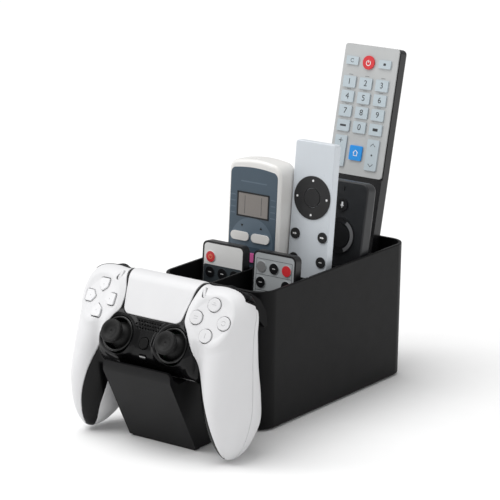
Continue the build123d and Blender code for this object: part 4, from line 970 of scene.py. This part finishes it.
# ======================================================================================
# Voice remote: a moulded charcoal case with a rounded edge, a slot over the microphone key,
# and a navigation ring round a black centre key, with a painted grey highlight on the right side of its rim.
# ======================================================================================
charcoal = finish("charcoal satin plastic", (0.018, 0.019, 0.021), 0.38, grain=0.4, relief=0.012, shine=0.35)
voice_black = finish("black centre key", (0.008, 0.008, 0.009), 0.4, relief=0, shine=0.3)
painted_rim_highlight = finish("painted highlight on ring rim", (0.16, 0.16, 0.165), 0.32, relief=0)
dress("voice_remote_case", charcoal, edge=0.3)
dress("voice_remote_keys", voice_black, edge=0.3)
voice_key_face = lie("voice_remote", "voice_remote_keys")
# Painted highlight: a grey arc on the right side of the ring's rim, where it catches the light.
printed("voice_ring_painted_highlight", [stroke(arc(0, 123, 12.7, -62, 62), 3.0)], voice_key_face, painted_rim_highlight,
        "voice_remote")
# A round-ended head, the cradle under it and its foot.
microphone = [panel_outline(0, 149.5, 1.7, 3.4, 0.8), stroke(arc(0, 149.2, 1.7, 200, 340), 0.45),
              stroke([(0, 147.5), (0, 146)], 0.45)]
printed("voice_microphone", microphone, voice_key_face, print_white, "voice_remote")

# ======================================================================================
# Television remote: a long glossy black case with a silver-painted plate let into its upper
# front. Pale rubber keys stand on the plate, with a red power key and a blue home key, and
# black ones below it.
# ======================================================================================
tall_black = finish("glossy black case plastic", (0.008, 0.008, 0.009), 0.24, relief=0, shine=0.35)
silver = finish("silver-painted plate", (0.47, 0.48, 0.48), 0.34, grain=0.25, relief=0.006, mottle=0.03)
pale_key = finish("pale blue-grey keys", (0.47, 0.54, 0.58), 0.4, relief=0, mottle=0.01)
blue_key = finish("blue home key", (0.0, 0.27, 0.75), 0.35, relief=0, mottle=0.02)
dress("tall_remote_case", tall_black, edge=0.5)
dress("tall_remote_plate", silver, edge=0.3)
dress("tall_remote_keys", pale_key, edge=0.25)
# The digit keys: middle column, space between columns and between rows, top and bottom rows.
KEY_MIDDLE, KEY_STEP, ROW_STEP, TOP_ROW = -1.8, 16.3, 12.33, 238.1
BOTTOM_ROW = TOP_ROW - 3 * ROW_STEP
tint("tall_remote", "tall_remote_keys", key_red, (KEY_MIDDLE - 6, 249.8), (KEY_MIDDLE + 6, 262))
tint("tall_remote", "tall_remote_keys", blue_key, (KEY_MIDDLE - 6.4, 173), (KEY_MIDDLE + 6.4, 186))
tint("tall_remote", "tall_remote_keys", tall_black, (-30, 0), (30, 158))
tall_key_face = lie("tall_remote", "tall_remote_keys")


def digit(number, x, y):
    """One printed digit, centred on a key."""
    name = f"tall_digit_{number}"
    curve = bpy.data.curves.new(name, "FONT")
    curve.body, curve.size = str(number), 7
    curve.align_x, curve.align_y = "CENTER", "CENTER"
    curve.extrude = 0.03
    curve.resolution_u = 6
    stamp = bpy.data.objects.new(name + "_curve", curve)
    bpy.context.scene.collection.objects.link(stamp)
    bpy.context.view_layer.update()
    mesh = bpy.data.meshes.new_from_object(stamp.evaluated_get(bpy.context.evaluated_depsgraph_get()))
    bpy.data.objects.remove(stamp)
    mesh.transform(tall_key_face @ Matrix.Translation((x, y, 0.03)))
    mesh.materials.clear()
    mesh.materials.append(print_dark)
    fitted(name, mesh, "tall_remote")


for number in range(1, 10):
    row, column = (number - 1) // 3, (number - 1) % 3 - 1
    digit(number, KEY_MIDDLE + column * KEY_STEP, TOP_ROW - row * ROW_STEP)
digit(0, KEY_MIDDLE, BOTTOM_ROW)
white_signs = power_sign(KEY_MIDDLE, 255.4, 2.1)
roof = [(-2.4, 179.6), (0, 181.9), (2.4, 179.6)]
walls = [(-1.7, 179.9), (-1.7, 177.3), (1.7, 177.3), (1.7, 179.9)]
white_signs += [stroke([(KEY_MIDDLE + x, y) for x, y in path], 0.7) for path in (roof, walls)]
printed("tall_white_signs", white_signs, tall_key_face, print_white, "tall_remote")
left_x, right_x = KEY_MIDDLE - KEY_STEP, KEY_MIDDLE + KEY_STEP
dark_lines = [[(left_x - 2, 188.5), (left_x + 2, 188.5)], [(left_x, 186.5), (left_x, 190.5)],
              [(left_x - 2, 171), (left_x + 2, 171)],
              [(right_x - 2.4, 187), (right_x, 189.4), (right_x + 2.4, 187)],
              [(right_x - 2.4, 172.4), (right_x, 170), (right_x + 2.4, 172.4)]]
dark_signs = [stroke(path, 0.5) for path in dark_lines]
dark_signs += [disc(right_x, 179.7, 0.8), disc(left_x, 179.7, 0.8),
               stroke(arc(left_x, 256, 1.5, 30, 330), 0.4), panel_outline(right_x, 256, 2.4, 2, 0.3),
               panel_outline(left_x, BOTTOM_ROW, 6, 1.6, 0.4), panel_outline(right_x, BOTTOM_ROW, 5, 2.4, 0.4)]
printed("tall_dark_signs", dark_signs, tall_key_face, print_dark, "tall_remote")
dashes = [stroke([(x - 2, TOP_ROW - row * ROW_STEP + 6.15), (x + 2, TOP_ROW - row * ROW_STEP + 6.15)], 0.5)
          for row in range(3) for x in (left_x, KEY_MIDDLE, right_x)]
printed("tall_dashes", dashes, lie("tall_remote", "tall_remote_plate"), key_grey, "tall_remote")

# ======================================================================================
# Studio: a pale seamless paper sweep under a large overhead diffuser, with a softbox on the
# left and a narrow strip on the right, and a long lens some way off.
# ======================================================================================
floor_mesh = bpy.data.meshes.new("floor")
floor_mesh.from_pydata([(-9, -9, 0), (9, -9, 0), (9, 9, 0), (-9, 9, 0)], [], [(0, 1, 2, 3)])
floor = bpy.data.objects.new("floor", floor_mesh)
bpy.context.scene.collection.objects.link(floor)
paper = finish("white paper sweep", (0.9, 0.9, 0.9), 0.9, grain=4, relief=0, mottle=0.005)
floor_mesh.materials.append(paper)

world = bpy.data.worlds.new("studio")
bpy.context.scene.world = world
world.use_nodes = True
world.node_tree.nodes["Background"].inputs["Color"].default_value = (1, 1, 1, 1)
world.node_tree.nodes["Background"].inputs["Strength"].default_value = 0.5

sky = bpy.data.lights.new("overhead diffuser", "SUN")
sky.energy = 2.2
sky.angle = radians(50)
overhead = bpy.data.objects.new("overhead diffuser", sky)
overhead.rotation_euler = Vector((0.28, 0.22, -1)).to_track_quat("-Z", "Y").to_euler()
bpy.context.scene.collection.objects.link(overhead)


def softbox(name, place, aim, size, power):
    """A flat soft light at a place, turned towards its aim."""
    light = bpy.data.lights.new(name, "AREA")
    light.shape = "RECTANGLE"
    light.size, light.size_y = size
    light.energy = power
    lamp = bpy.data.objects.new(name, light)
    lamp.location = place
    lamp.rotation_euler = (Vector(aim) - Vector(place)).to_track_quat("-Z", "Y").to_euler()
    bpy.context.scene.collection.objects.link(lamp)


softbox("left softbox", (-1.2, -0.9, 0.8), (0, -0.1, 0.12), (0.5, 1.0), 5)
softbox("right strip", (1.5, 0.1, 0.7), (0, 0, 0.12), (0.25, 1.0), 2)

camera_data = bpy.data.cameras.new("camera")
camera_data.lens = 189.9
camera_data.sensor_width = 36
camera_data.clip_start, camera_data.clip_end = 0.1, 20
camera = bpy.data.objects.new("camera", camera_data)
camera.location = (1.2177, -1.6759, 0.6829)
azimuth, elevation = radians(36.82), radians(15.20)
looking = Vector((-sin(azimuth) * cos(elevation), cos(azimuth) * cos(elevation), -sin(elevation)))
camera.rotation_euler = looking.to_track_quat("-Z", "Y").to_euler()
bpy.context.scene.collection.objects.link(camera)
bpy.context.scene.camera = camera
bpy.context.scene.view_settings.view_transform = "Standard"
